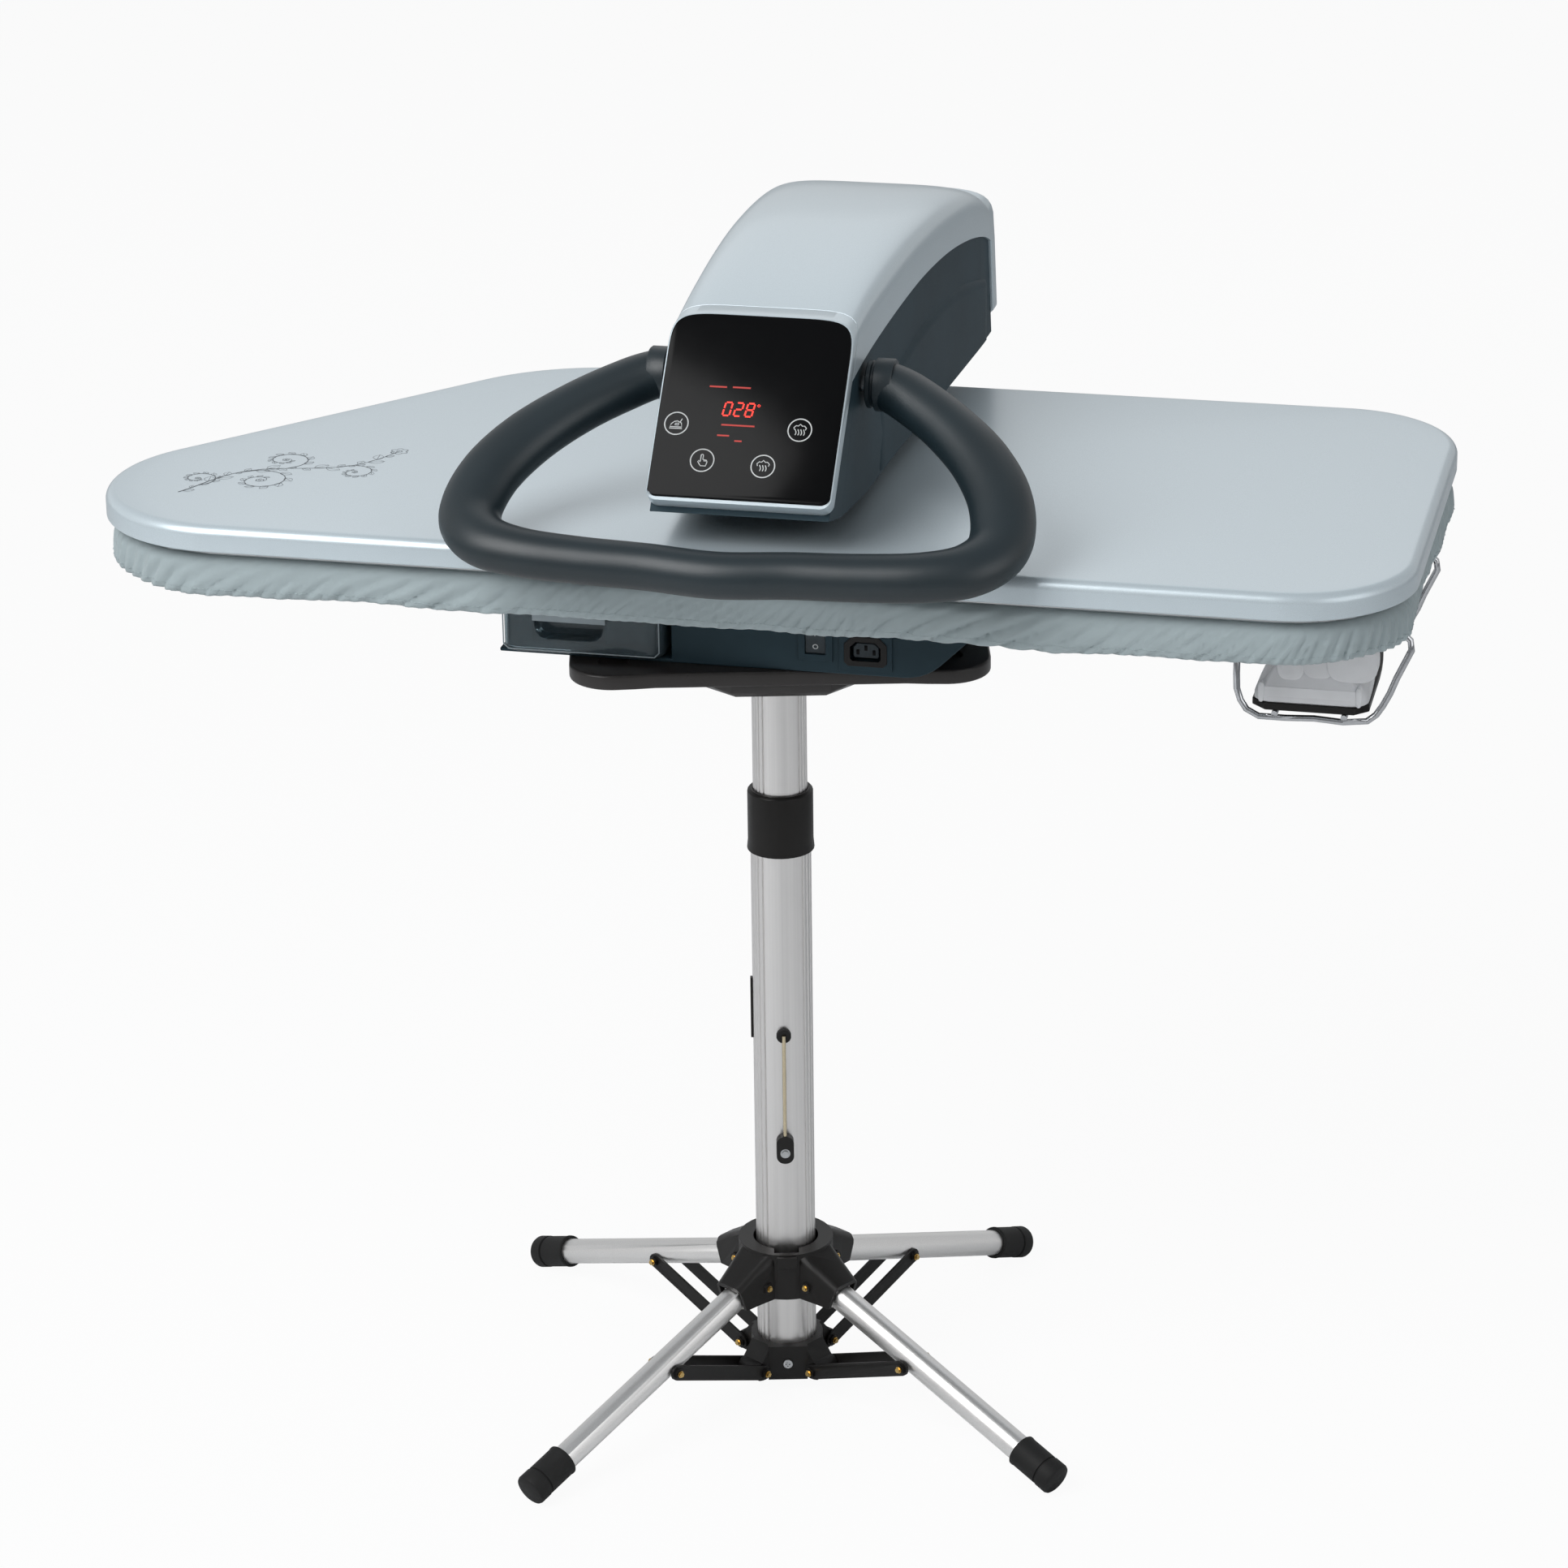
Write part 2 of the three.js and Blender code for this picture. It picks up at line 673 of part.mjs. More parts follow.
for (const turn of legTurns) {
  const slot = boxGeometry(tongueSlot[1], tongueSlotEnd, -tongueSlot[0], tongueSlot[0],
    hubZ - farSide, hubZ + tongueSlot[2]);
  hubSolid = hubSolid.subtract(turnedSolid(slot, turn));
  hubSolid = hubSolid.subtract(finSolid(tubeSlot, tubeSlotHalf, hubZ, turn));
}
for (const turn of legTurns) {
  const pin = rodGeometry([pivotRadius, -hoodPinHalf, hubZ], [pivotRadius, hoodPinHalf, hubZ],
    pinRadius, smallSteps);
  hubSolid = hubSolid.add(turnedSolid(pin, turn));
  for (const side of [-1, 1]) {
    const head = rodGeometry([pivotRadius, side * (hoodPinHalf - pinHeadThick), hubZ],
      [pivotRadius, side * (hoodPinHalf + pinHeadThick), hubZ], pinHead, smallSteps);
    hubSolid = hubSolid.add(turnedSolid(head, turn));
  }
}
hubSolid = hubSolid.subtract(discZ(hubZ - hubBelow - overrun, hubZ + hubAbove + overrun, 0, 0,
  hubBore, roundSteps));
hubSolid = hubSolid.subtract(box(-channelHalf, channelHalf, -channelReach, 0,
  hubZ - hubBelow - overrun, hubZ + hubAbove + overrun));
addPiece(stand, 'spreader_hub', hubSolid, materials.black);

// Point on a leg: along it from the pivot, across its plane and above its axis.
function legPlace(along, across, above) {
  const x = pivotRadius + along * Math.cos(legDrop) + above * Math.sin(legDrop);
  const z = hubZ - along * Math.sin(legDrop) + above * Math.cos(legDrop);
  return [x, across, z];
}

function tilted(geometry, angle, x, z) {
  const moved = geometry.clone();
  moved.rotateY(angle);
  moved.translate(x, 0, z);
  return moved;
}

// Outline of a brace bar in its leg plane: a straight flat bar with round ends.
const barOutline = [];
for (const [end, along] of [[0, 0], [1, braceReach]]) {
  const centreX = pivotRadius + along * Math.cos(braceRise);
  const centreZ = collarZ + along * Math.sin(braceRise);
  const from = braceRise + Math.PI / 2 + Math.PI * end;
  barOutline.push(...arcPoints(centreX, centreZ, barHalf, from, from + Math.PI, 6));
}

legTurns.forEach((turn, which) => {
  const tube = rodGeometry(legPlace(legTubeStart, 0, 0), legPlace(legTubeEnd, 0, 0),
    legTubeRadius, smallSteps);
  const hollow = rodGeometry(legPlace(legTubeStart + legPlug, 0, 0),
    legPlace(legTubeEnd + overrun, 0, 0), legTubeRadius - legTubeWall, smallSteps);
  const tongue = tilted(boxGeometry(0, legTubeStart + tongueLap, -tongueHalf, tongueHalf,
    -tongueRadius, tongueRadius), legDrop, pivotRadius, hubZ);
  const eye = rodGeometry([pivotRadius, -tongueHalf, hubZ], [pivotRadius, tongueHalf, hubZ],
    tongueRadius, smallSteps);
  const bore = rodGeometry([pivotRadius, -tongueHalf - overrun, hubZ],
    [pivotRadius, tongueHalf + overrun, hubZ], pinRadius + pinGap, smallSteps);
  let legSolid = turnedSolid(tube, turn);
  legSolid = legSolid.subtract(turnedSolid(hollow, turn));
  legSolid = legSolid.add(turnedSolid(tongue, turn));
  legSolid = legSolid.add(turnedSolid(eye, turn));
  legSolid = legSolid.subtract(turnedSolid(bore, turn));
  addPiece(stand, `leg_tube_${legNames[which]}`, legSolid, materials.anodised);

  const capBody = rodGeometry(legPlace(capStart, 0, 0), legPlace(capEnd, 0, 0), capRadius, smallSteps);
  const capBore = rodGeometry(legPlace(capStart - overrun, 0, 0), legPlace(legTubeEnd, 0, 0),
    legTubeRadius + seatGap, smallSteps);
  let capSolid = turnedSolid(capBody, turn);
  capSolid = capSolid.subtract(turnedSolid(capBore, turn));
  capSolid = capSolid.subtract(box(-farSide, farSide, -farSide, farSide, -farSide, 0));
  addPiece(stand, `foot_cap_${legNames[which]}`, capSolid, materials.rubber);

  const bars = [];
  const barMiddle = (barInner + barOuter) / 2;
  for (const side of [-1, 1]) {
    const inner = Math.min(side * barInner, side * barOuter);
    bars.push(toGeometry(prismY(barOutline, inner, inner + barOuter - barInner)));
    for (const along of [0, braceReach]) {
      const x = pivotRadius + along * Math.cos(braceRise);
      const z = collarZ + along * Math.sin(braceRise);
      bars.push(rodGeometry([x, side * barMiddle, z], [x, side * (barOuter + boltHead), z],
        boltRadius, 6));
    }
  }
  bars.push(rodGeometry([pivotRadius, -barOuter, collarZ], [pivotRadius, barOuter, collarZ],
    pinRadius, wireSteps));
  const braceSolid = joinAll(bars.map((bar) => turnedSolid(bar, turn)));
  addPiece(stand, `brace_${legNames[which]}`, braceSolid, materials.blackSteel);
});

// Top flange: a bevelled collar under a round disc.
const flangeSolid = lathe([
  [0, plateFoot],
  [0, innerTubeTop],
  [innerTubeRadius + seatGap, innerTubeTop],
  [innerTubeRadius + seatGap, flangeFoot],
  [flangeRadius - flangeBevel, flangeFoot],
  [flangeRadius, flangeFoot + flangeBevel],
  [flangeRadius, flangeDiscUnder],
  [flangeDiscRadius - flangeDiscEdge, flangeDiscUnder],
  [flangeDiscRadius, flangeDiscUnder + flangeDiscEdge],
  [flangeDiscRadius, plateFoot],
  [0, plateFoot],
], roundSteps);
addPiece(stand, 'top_flange', flangeSolid, materials.black);

// Lobed top plate, turned with the stand: round lobes at the corners and a dish in each.
const dishRadius = 9;
const dishDeep = 2;
const lobePlaces = [];
for (const sideX of [-1, 1]) {
  for (const sideY of [-1, 1]) {
    lobePlaces.push([sideX * (plateHalfX - plateLobe), sideY * (plateHalfY - plateLobe)]);
  }
}
let topPlateSolid = prism(roundedRectangle(plateWaist - plateHalfX, plateHalfX - plateWaist,
  plateWaist - plateHalfY, plateHalfY - plateWaist, plateCorner, 4), plateFoot, plateTop);
for (const [x, y] of lobePlaces) {
  topPlateSolid = topPlateSolid.add(discZ(plateFoot, plateTop, x, y, plateLobe, roundSteps));
}
for (const [x, y] of lobePlaces) {
  topPlateSolid = topPlateSolid.subtract(discZ(plateTop - dishDeep, plateTop + overrun, x, y,
    dishRadius, smallSteps));
}
addPiece(stand, 'top_plate', topPlateSolid, materials.black);

// Base unit housing: right end in a round and a slope, bay for the tank, pockets in front.
function housingProfile(left, inset) {
  const round = baseRound - inset;
  const profile = [[left, plateTop + inset]];
  profile.push(...arcPoints(baseFloorRight, plateTop + baseRound, round, -Math.PI / 2,
    baseSlope - Math.PI / 2, 5));
  const [x, z] = profile[profile.length - 1];
  const top = panelUnder - inset;
  profile.push([x + (top - z) / Math.tan(baseSlope), top], [left, top]);
  return profile;
}
const cavityLeft = tankRight + partition;
let housingSolid = prismY(housingProfile(baseLeft, 0), baseFront, baseRear);
const cavityFront = baseFront + cavityInset;
housingSolid = housingSolid.subtract(prismY(housingProfile(cavityLeft, baseWall), cavityFront,
  baseRear - baseWall));
housingSolid = housingSolid.subtract(box(cavityLeft, baseFloorRight, cavityFront, baseRear - baseWall,
  plateTop - overrun, panelUnder - baseWall));
housingSolid = housingSolid.subtract(box(baseLeft - overrun, tankRight + 2 * baseWall - slideGap,
  baseFront - overrun, tankRear + slideGap, plateTop + baseWall, lidTop + overrun - slideGap));
housingSolid = housingSolid.subtract(box(baseLeft + baseWall, cavityLeft,
  tankRear + slideGap + baseWall, baseRear - baseWall, plateTop - overrun, panelUnder - baseWall));
const rockerPocket = [11.6, 15.6, 16];
housingSolid = housingSolid.subtract(box(rockerX - rockerPocket[0], rockerX + rockerPocket[0],
  baseFront - overrun, baseFront + rockerPocket[2], rockerZ - rockerPocket[1], rockerZ + rockerPocket[1]));
const socketPocket = [18.2, 13.2, 20];
housingSolid = housingSolid.subtract(box(socketX - socketPocket[0], socketX + socketPocket[0],
  baseFront - overrun, baseFront + socketPocket[2], socketZ - socketPocket[1], socketZ + socketPocket[1]));
addPiece(press, 'base_housing', housingSolid, materials.slate);

// Water tank with a finger recess in its front, and its lid with a filler hole.
let tankSolid = softBlock(tankLeft, tankRight, tankFront, tankRear, tankUnder, tankTop, tankRadius,
  tankEdge);
const recessLeft = tankLeft + 27;
const recessRight = recessLeft + 54;
const recessFoot = tankUnder + 11.6;
const recessTop = tankTop - 12;
const recessDeep = 14;
const recessCorner = 10;
const hollowTank = softBlock(tankLeft + tankWall, tankRight - tankWall, tankFront + tankWall,
  tankRear - tankWall, tankUnder + tankWall, tankTop + 2 * overrun, tankRadius - tankWall, 1);
const recessKeep = box(recessLeft - tankWall, recessRight + tankWall, tankFront,
  tankFront + recessDeep + tankWall, recessFoot - tankWall, recessTop + tankWall);
tankSolid = tankSolid.subtract(hollowTank.subtract(recessKeep));
const recessTool = softBlock(recessLeft, recessRight, recessFoot, recessTop, -recessDeep, overrun + 1,
  recessCorner, 1);
const recessMesh = toGeometry(recessTool);
recessMesh.rotateX(Math.PI / 2);
recessMesh.translate(0, tankFront, 0);
tankSolid = tankSolid.subtract(toSolid(recessMesh));
addPiece(press, 'water_tank', tankSolid, materials.tank);

const lidLip = tankWall + slideGap;
const lidDeep = 5;
const fillerRadius = 9;
const fillerX = tankLeft + 68;
const fillerY = tankRear - 64;
let lidSolid = softBlock(tankLeft, tankRight, tankFront, tankRear, tankTop, lidTop, tankRadius, 1);
lidSolid = lidSolid.add(softBlock(tankLeft + lidLip, tankRight - lidLip, tankFront + lidLip,
  tankRear - lidLip, tankTop - lidDeep, tankTop + 1, tankRadius - lidLip, tankEdge / 4));
lidSolid = lidSolid.subtract(discZ(tankTop - lidDeep - overrun, lidTop + overrun, fillerX, fillerY,
  fillerRadius, smallSteps));
addPiece(press, 'tank_lid', lidSolid, materials.slate);

// Rocker switch: a bezel with a rocker on two trunnions.
const bezelHalf = [11.4, 15.4];
const bezelFlange = 2;
const bezelOpen = [8, 12];
const bezelFace = 1.6;
let bezelSolid = box(rockerX - bezelHalf[0], rockerX + bezelHalf[0], baseFront, baseFront + 14,
  rockerZ - bezelHalf[1], rockerZ + bezelHalf[1]);
bezelSolid = bezelSolid.add(box(rockerX - bezelHalf[0] - bezelFlange, rockerX + bezelHalf[0] + bezelFlange,
  baseFront - bezelFace, baseFront, rockerZ - bezelHalf[1] - bezelFlange,
  rockerZ + bezelHalf[1] + bezelFlange));
bezelSolid = bezelSolid.subtract(box(rockerX - bezelOpen[0], rockerX + bezelOpen[0],
  baseFront - bezelFace - overrun, baseFront + 11, rockerZ - bezelOpen[1], rockerZ + bezelOpen[1]));
const trunnion = 1.5;
const trunnionY = baseFront + 4;
bezelSolid = bezelSolid.subtract(discX(rockerX - bezelOpen[0] - 1.8, rockerX + bezelOpen[0] + 1.8,
  trunnionY, rockerZ, trunnion + pinGap, smallSteps));
addPiece(press, 'rocker_bezel', bezelSolid, materials.black);

const rockerHalf = [7.5, 10.8];
const rockerLean = THREE.MathUtils.degToRad(8);
const rockerShape = [[-2, -rockerHalf[1]], [4, -rockerHalf[1] + 3], [4, rockerHalf[1] - 3],
  [-2, rockerHalf[1]], [-5.4, rockerHalf[1]], [-4.2, 0], [-5.4, -rockerHalf[1]]];
const leanCos = Math.cos(rockerLean);
const leanSin = Math.sin(rockerLean);
const rockerOutline = rockerShape.map(([y, z]) => [
  trunnionY + y * leanCos - z * leanSin, rockerZ + y * leanSin + z * leanCos]);
let rockerSolid = prismX(rockerOutline, rockerX - rockerHalf[0], rockerX + rockerHalf[0]);
rockerSolid = rockerSolid.add(discX(rockerX - bezelOpen[0] - 1.2, rockerX + bezelOpen[0] + 1.2,
  trunnionY, rockerZ, trunnion, smallSteps));
addPiece(press, 'power_rocker', rockerSolid, materials.rubber);

// Appliance outlet for the iron: a framed socket with three slots.
const socketHalf = [18, 13];
const socketFlange = 2.4;
let socketSolid = box(socketX - socketHalf[0], socketX + socketHalf[0], baseFront, baseFront + 18,
  socketZ - socketHalf[1], socketZ + socketHalf[1]);
socketSolid = socketSolid.add(box(socketX - socketHalf[0] - socketFlange,
  socketX + socketHalf[0] + socketFlange, baseFront - 2, baseFront,
  socketZ - socketHalf[1] - socketFlange, socketZ + socketHalf[1] + socketFlange));
const socketWell = [[-13, 9], [-13, -9], [13, -9], [13, 9]].map(([x, z]) => [socketX + x, socketZ + z]);
socketSolid = socketSolid.subtract(prismY(socketWell, baseFront - 2 - overrun, baseFront + 12));
for (const [x, z] of [[-7, -2.5], [0, 2.5], [7, -2.5]]) {
  socketSolid = socketSolid.subtract(box(socketX + x - 1, socketX + x + 1, baseFront + 10,
    baseFront + 16, socketZ + z - 2.2, socketZ + z + 2.2));
}
addPiece(press, 'iron_socket', socketSolid, materials.black);

// Board: metal panel, felt pad and fitted cloth cover with gathers round the ends.
const panelInset = 13.5;
const panelTop = panelUnder + panelThick;
addPiece(press, 'board_panel', boardSolid([[panelInset, panelUnder], [panelInset, panelTop]]),
  materials.steel);
const padInset = 9.5;
const padShoulder = 2.2;
const padEdge = 6;
addPiece(press, 'board_pad', boardSolid([[padInset + padShoulder / 2, panelTop],
  [padInset, panelTop + panelThick], [padInset, padTop - padEdge - 1],
  [padInset + padShoulder, padTop - padShoulder], [padInset + padEdge, padTop]]), materials.foam);

const clothRuns = [20, 5, 13, 6];
const clothArc = 9;
const foldLength = 31;
const foldHeight = 0.7;
const hemWave = 0.9;
const hemDrop = 2.3;
const clothUnder = panelUnder - hemDrop;
function clothRing(inset, z, foldShare, waveShare) {
  const ring = boardRing(inset, z, clothArc, clothRuns);
  let gone = 0;
  return ring.map(([x, y], i) => {
    const before = ring[(i + ring.length - 1) % ring.length];
    gone += Math.hypot(x - before[0], y - before[1]);
    const after = ring[(i + 1) % ring.length];
    const nx = after[1] - before[1];
    const ny = before[0] - after[0];
    const size = Math.hypot(nx, ny);
    const fold = foldHeight * foldShare * Math.sin(gone / foldLength + (z - clothUnder) / (foldLength / 2));
    const wave = hemWave * waveShare * Math.sin(gone / (2 * foldLength));
    return [x - nx / size * (foldHeight - fold), y - ny / size * (foldHeight - fold), z + wave];
  });
}
const clothOuter = loft([
  clothRing(12, clothUnder, 0, 0),
  clothRing(8, clothUnder + 1.8, 1, 1),
  clothRing(6.6, clothUnder + 8, 1, 1),
  clothRing(6.6, clothUnder + 24, 1, 0),
  clothRing(9.4, coverTop - 2.4, 0, 0),
  clothRing(14, coverTop, 0, 0),
]);
const clothInner = boardSolid([
  [30, clothUnder - overrun],
  [30, clothUnder + 1.9],
  [13, clothUnder + 1.9],
  [9.9, clothUnder + 3.6],
  [9.2, clothUnder + 8],
  [9.2, coverTop - 8.8],
  [11.4, coverTop - 3.7],
  [15.3, coverTop - 1.9],
]);
addPiece(press, 'board_cover', clothOuter.subtract(clothInner), materials.cloth);

// Heated shoe: pressed cover and a steam plate hung from it on pillars.
const shoeWall = 3;
const shoeOuter = boardSolid([[0, shoeUnder], [0, shoeTop - 7], [1.4, shoeTop - 3.4],
  [4.6, shoeTop - 0.8], [9, shoeTop]]);
const shoeInner = boardSolid([[shoeWall, shoeUnder - overrun], [shoeWall, shoeTop - 9],
  [8, shoeTop - shoeWall]]);
addPiece(press, 'shoe_cover', shoeOuter.subtract(shoeInner), materials.silver);

const steamHole = 2.2;
const steamSpacingX = 0.109 * boardLength;
const steamSpacingY = 0.174 * boardDepth;
const steamTop = steamUnder + steamThick;
const pillarTable = [[-0.594, -0.26], [0.594, -0.52], [0.594, 0.52], [-0.2, 0.52], [-0.2, -0.52]];
let steamPlate = boardSolid([[10, steamUnder], [8.6, steamUnder + 1.4], [8.6, steamTop]]);
for (const [shareX, shareY] of pillarTable) {
  steamPlate = steamPlate.add(discZ(steamTop - 1, shoeTop - shoeWall, shareX * halfLength,
    shareY * halfDepth, 9, smallSteps));
}
for (let row = -2; row <= 2; row += 1) {
  for (let column = -2; column <= 3; column += 1) {
    const shift = row % 2 === 0 ? -0.2 : 0.3;
    steamPlate = steamPlate.subtract(discZ(steamUnder - overrun, steamTop + overrun,
      (column + shift) * steamSpacingX, row * steamSpacingY, steamHole, 6));
  }
}
addPiece(press, 'heating_plate', steamPlate, materials.steel);

// Arm stations: share of the way back, half width, crown and floor over the shoe, lean, roundness.
const armTable = [
  [0, 70, 153, 31, 1, 7],
  [0.0843, 71, 160, 19, 0.75, 6.4],
  [0.1845, 73, 166, 12, 0.4, 5.6],
  [0.3212, 76, 171, 12, 0, 5],
  [0.4806, 79, 173, 12, 0, 4.6],
  [0.6629, 82, 169, 12, 0, 4.6],
  [0.8223, 85, 160, 12, 0, 4.8],
  [0.9362, 87, 148, 12, -0.12, 5],
  [1, 87.5, 136, 12, -0.22, 5.4],
];
const armStations = armTable.map(([share, half, crown, floor, lean, roundness]) => [
  armFront + (armRear - armFront) * share, half, shoeTop + crown, shoeTop + floor, lean, roundness]);
const armFloorLift = armTable[2][3];
const coverDrop = 42;
const coverWall = 2.6;
const leanShare = panelRunY / panelRiseZ;
const archSteps = 18;

// Points of the arch of a station, trimmed inward, from its right foot to its left foot.
function archPoints([, half, crown, , , roundness], trim) {
  const points = [];
  const bottom = crown - coverDrop;
  for (let i = 0; i <= archSteps; i += 1) {
    const c = Math.cos(Math.PI * i / archSteps);
    const s = Math.sin(Math.PI * i / archSteps);
    const side = i * 2 === archSteps ? 0 : Math.sign(c) * Math.abs(c) ** (2 / roundness);
    const rise = i === 0 || i === archSteps ? 0 : s ** (2 / roundness);
    points.push([headX + (half - trim) * side, bottom + (coverDrop - trim) * rise]);
  }
  return points;
}

// A point of a leaning ring: the front rings lie back like the control panel.
function leaned([y, , crown, , lean], x, z) {
  return [x, y + lean * leanShare * (z - crown), z];
}

const coverRings = armStations.map((station) => {
  const outer = archPoints(station, 0);
  const inner = archPoints(station, coverWall).reverse();
  return [...outer, ...inner].map(([x, z]) => leaned(station, x, z));
});

// Space inside the cover, carried down to the floor of the arm.
const wallInset = coverWall + seatGap;
const wallThick = 3;
const floorThick = 4;
const wallLap = 8;
const lastStation = armStations[armStations.length - 1];
const pastRear = [lastStation[0] + 2 * overrun, ...lastStation.slice(1)];
function spaceSolid(trim, lift, stations) {
  return loft(stations.map((station) => {
    const ring = archPoints(station, trim);
    const [, half, , floor] = station;
    ring.push([headX - half + trim, floor + lift], [headX + half - trim, floor + lift]);
    return ring.map(([x, z]) => leaned(station, x, z));
  }));
}

// The plane of the control panel: a point by its X, its way up the slope and its height above it.
const slopeLength = Math.hypot(panelRunY, panelRiseZ);
const slopeCos = panelRunY / slopeLength;
const slopeSin = panelRiseZ / slopeLength;
function onPanel(x, up, above) {
  return [x, panelFootY + up * slopeCos - above * slopeSin, panelFootZ + up * slopeSin + above * slopeCos];
}

function panelBlock(outline, from, to) {
  return loft([from, to].map((above) => outline.map(([x, up]) => onPanel(x, up, above))));
}

function faceOutline(trim, foot, corner) {
  const arch = archPoints(armStations[0], trim).map(([x, z]) => [x, (z - panelFootZ) / slopeSin]);
  const left = headX - armStations[0][1] + trim;
  const right = headX + armStations[0][1] - trim;
  const cornerShare = 0.3;
  arch.push([left, foot + corner], [left + corner * cornerShare, foot + corner * cornerShare]);
  arch.push([left + corner, foot], [right - corner, foot]);
  arch.push([right - corner * cornerShare, foot + corner * cornerShare], [right, foot + corner]);
  return arch;
}

const bezelUnder = 9;
const bezelRim = 3;
const bezelLip = 12;
const bezelEdge = 2.4;
const bezelLedge = 8;
const bezelCorner = 9;
const panelCorner = 5;
const frontCut = panelBlock([[-farSide, -farSide], [farSide, -farSide], [farSide, farSide],
  [-farSide, farSide]], -bezelUnder - seatGap, farSide);
addPiece(press, 'arm_cover', loft(coverRings).subtract(frontCut), materials.silver);

let bezelPlate = panelBlock(faceOutline(0, -bezelLip, bezelCorner), -bezelUnder, bezelRim);
bezelPlate = bezelPlate.subtract(panelBlock(faceOutline(bezelEdge, 0, panelCorner), -seatGap,
  bezelRim + overrun));
bezelPlate = bezelPlate.subtract(panelBlock(faceOutline(bezelEdge + bezelLedge, bezelCorner, panelCorner),
  -bezelUnder - overrun, overrun));
addPiece(press, 'panel_bezel', bezelPlate, materials.silver);

const windowLeft = headX - 25;
const windowRight = headX + 11;
const windowFoot = 52;
const windowTop = 72;
const windowCorner = 2;
const windowDeep = 1.5;
let controlPanel = panelBlock(faceOutline(bezelEdge + pinGap, pinGap, panelCorner), 0, bezelRim);
const windowOutline = roundedRectangle(windowLeft, windowRight, windowFoot, windowTop, windowCorner, 3);
controlPanel = controlPanel.subtract(panelBlock(windowOutline, bezelRim - windowDeep, bezelRim + overrun));
addPiece(press, 'control_panel', controlPanel, materials.gloss);
const glassOutline = roundedRectangle(windowLeft + pinGap, windowRight - pinGap, windowFoot + pinGap,
  windowTop - pinGap, windowCorner - pinGap, 3);
addPiece(press, 'display_window', panelBlock(glassOutline, bezelRim - windowDeep + seatGap, bezelRim),
  materials.display);

// Arm body: floor and side walls in one, its rear floor open for the hinge bracket.
let armBody = spaceSolid(wallInset, 0, armStations);
armBody = armBody.subtract(spaceSolid(wallInset + wallThick, floorThick, [...armStations, pastRear]));
const aboveLap = loft([...armStations, pastRear].map((station) => {
  const [, , crown] = station;
  const lap = crown - coverDrop + wallLap;
  const high = crown + coverDrop;
  return [[headX - farSide, lap], [headX + farSide, lap], [headX + farSide, high],
    [headX - farSide, high]].map(([x, z]) => leaned(station, x, z));
}));
armBody = armBody.subtract(aboveLap);
armBody = armBody.subtract(frontCut);
const floorOpenHalf = 66;
const floorOpenReach = 46;
const armFloor = shoeTop + armFloorLift;
armBody = armBody.subtract(box(headX - floorOpenHalf, headX + floorOpenHalf, hingeY - floorOpenReach,
  armRear + farSide, armFloor - armFloorLift, armFloor + 2 * floorThick));
const shaftRadius = 6;
const hingeBoss = 14;
const bossInner = 64;
const bossOuter = 81.5;
const shaftEnd = 78;
const handleShaftRadius = 6;
const pillarShares = [0.139, 0.6173];
const pillarPlaces = pillarShares.map((share) => armFront + (armRear - armFront) * share);
const pillarRadius = 18;
for (const side of [-1, 1]) {
  const boss = discX(headX + side * bossInner, headX + side * bossOuter, hingeY, hingeZ, hingeBoss,
    smallSteps);
  const bore = discX(headX + side * (bossInner - overrun), headX + side * shaftEnd, hingeY, hingeZ,
    shaftRadius + seatGap, smallSteps);
  armBody = armBody.add(boss).subtract(bore);
}
armBody = armBody.subtract(discX(headX - farSide, headX + farSide, handleY, handleZ,
  handleShaftRadius + seatGap, smallSteps));
for (const y of pillarPlaces) {
  armBody = armBody.subtract(discZ(armFloor - overrun, armFloor + 2 * floorThick, headX, y,
    pillarRadius + seatGap, roundSteps));
}
addPiece(press, 'arm_body', armBody, materials.slate);

// Rear cap: a deep lid that closes the arm behind the hinge, leaning like its last station.
const rearCapThick = 20;
const rearCapRise = 22;
const rearCapCorner = 10;
const rearCapRound = 5;
function rearRing(trim, back) {
  const ring = archPoints(lastStation, trim);
  const foot = shoeTop + rearCapRise;
  const left = headX - lastStation[1] + trim;
  const right = headX + lastStation[1] - trim;
  ring.push([left, foot + rearCapCorner], [left + rearCapCorner, foot + trim]);
  ring.push([right - rearCapCorner, foot + trim], [right, foot + rearCapCorner]);
  return ring.map(([x, z]) => {
    const [, y] = leaned(lastStation, x, z);
    return [x, y + back, z];
  });
}
addPiece(press, 'rear_cap', loft([rearRing(0, 0), rearRing(0, rearCapThick - rearCapRound),
  rearRing(rearCapRound, rearCapThick)]), materials.silver);

// Arm frame: a steel channel on two pillars that carries the shoe inside the arm.
const beamRise = 16;
const beamFoot = shoeTop + beamRise;
const beamTall = 32;
const beamTop = beamFoot + beamTall;
const beamHalf = 26;
const beamWall = 3;
const beamPast = 24;
const beamReach = 66;
const beamFront = pillarPlaces[0] - beamPast;
const beamRear = pillarPlaces[1] + beamReach;
let beam = box(headX - beamHalf, headX + beamHalf, beamFront, beamRear, beamFoot, beamTop);
beam = beam.subtract(box(headX - beamHalf + beamWall, headX + beamHalf - beamWall, beamFront - overrun,
  beamRear + overrun, beamFoot + beamWall, beamTop + overrun));
for (const y of pillarPlaces) {
  beam = beam.add(discZ(shoeTop, beamFoot + beamWall, headX, y, pillarRadius, roundSteps));
}
addPiece(press, 'arm_frame', beam, materials.steel);

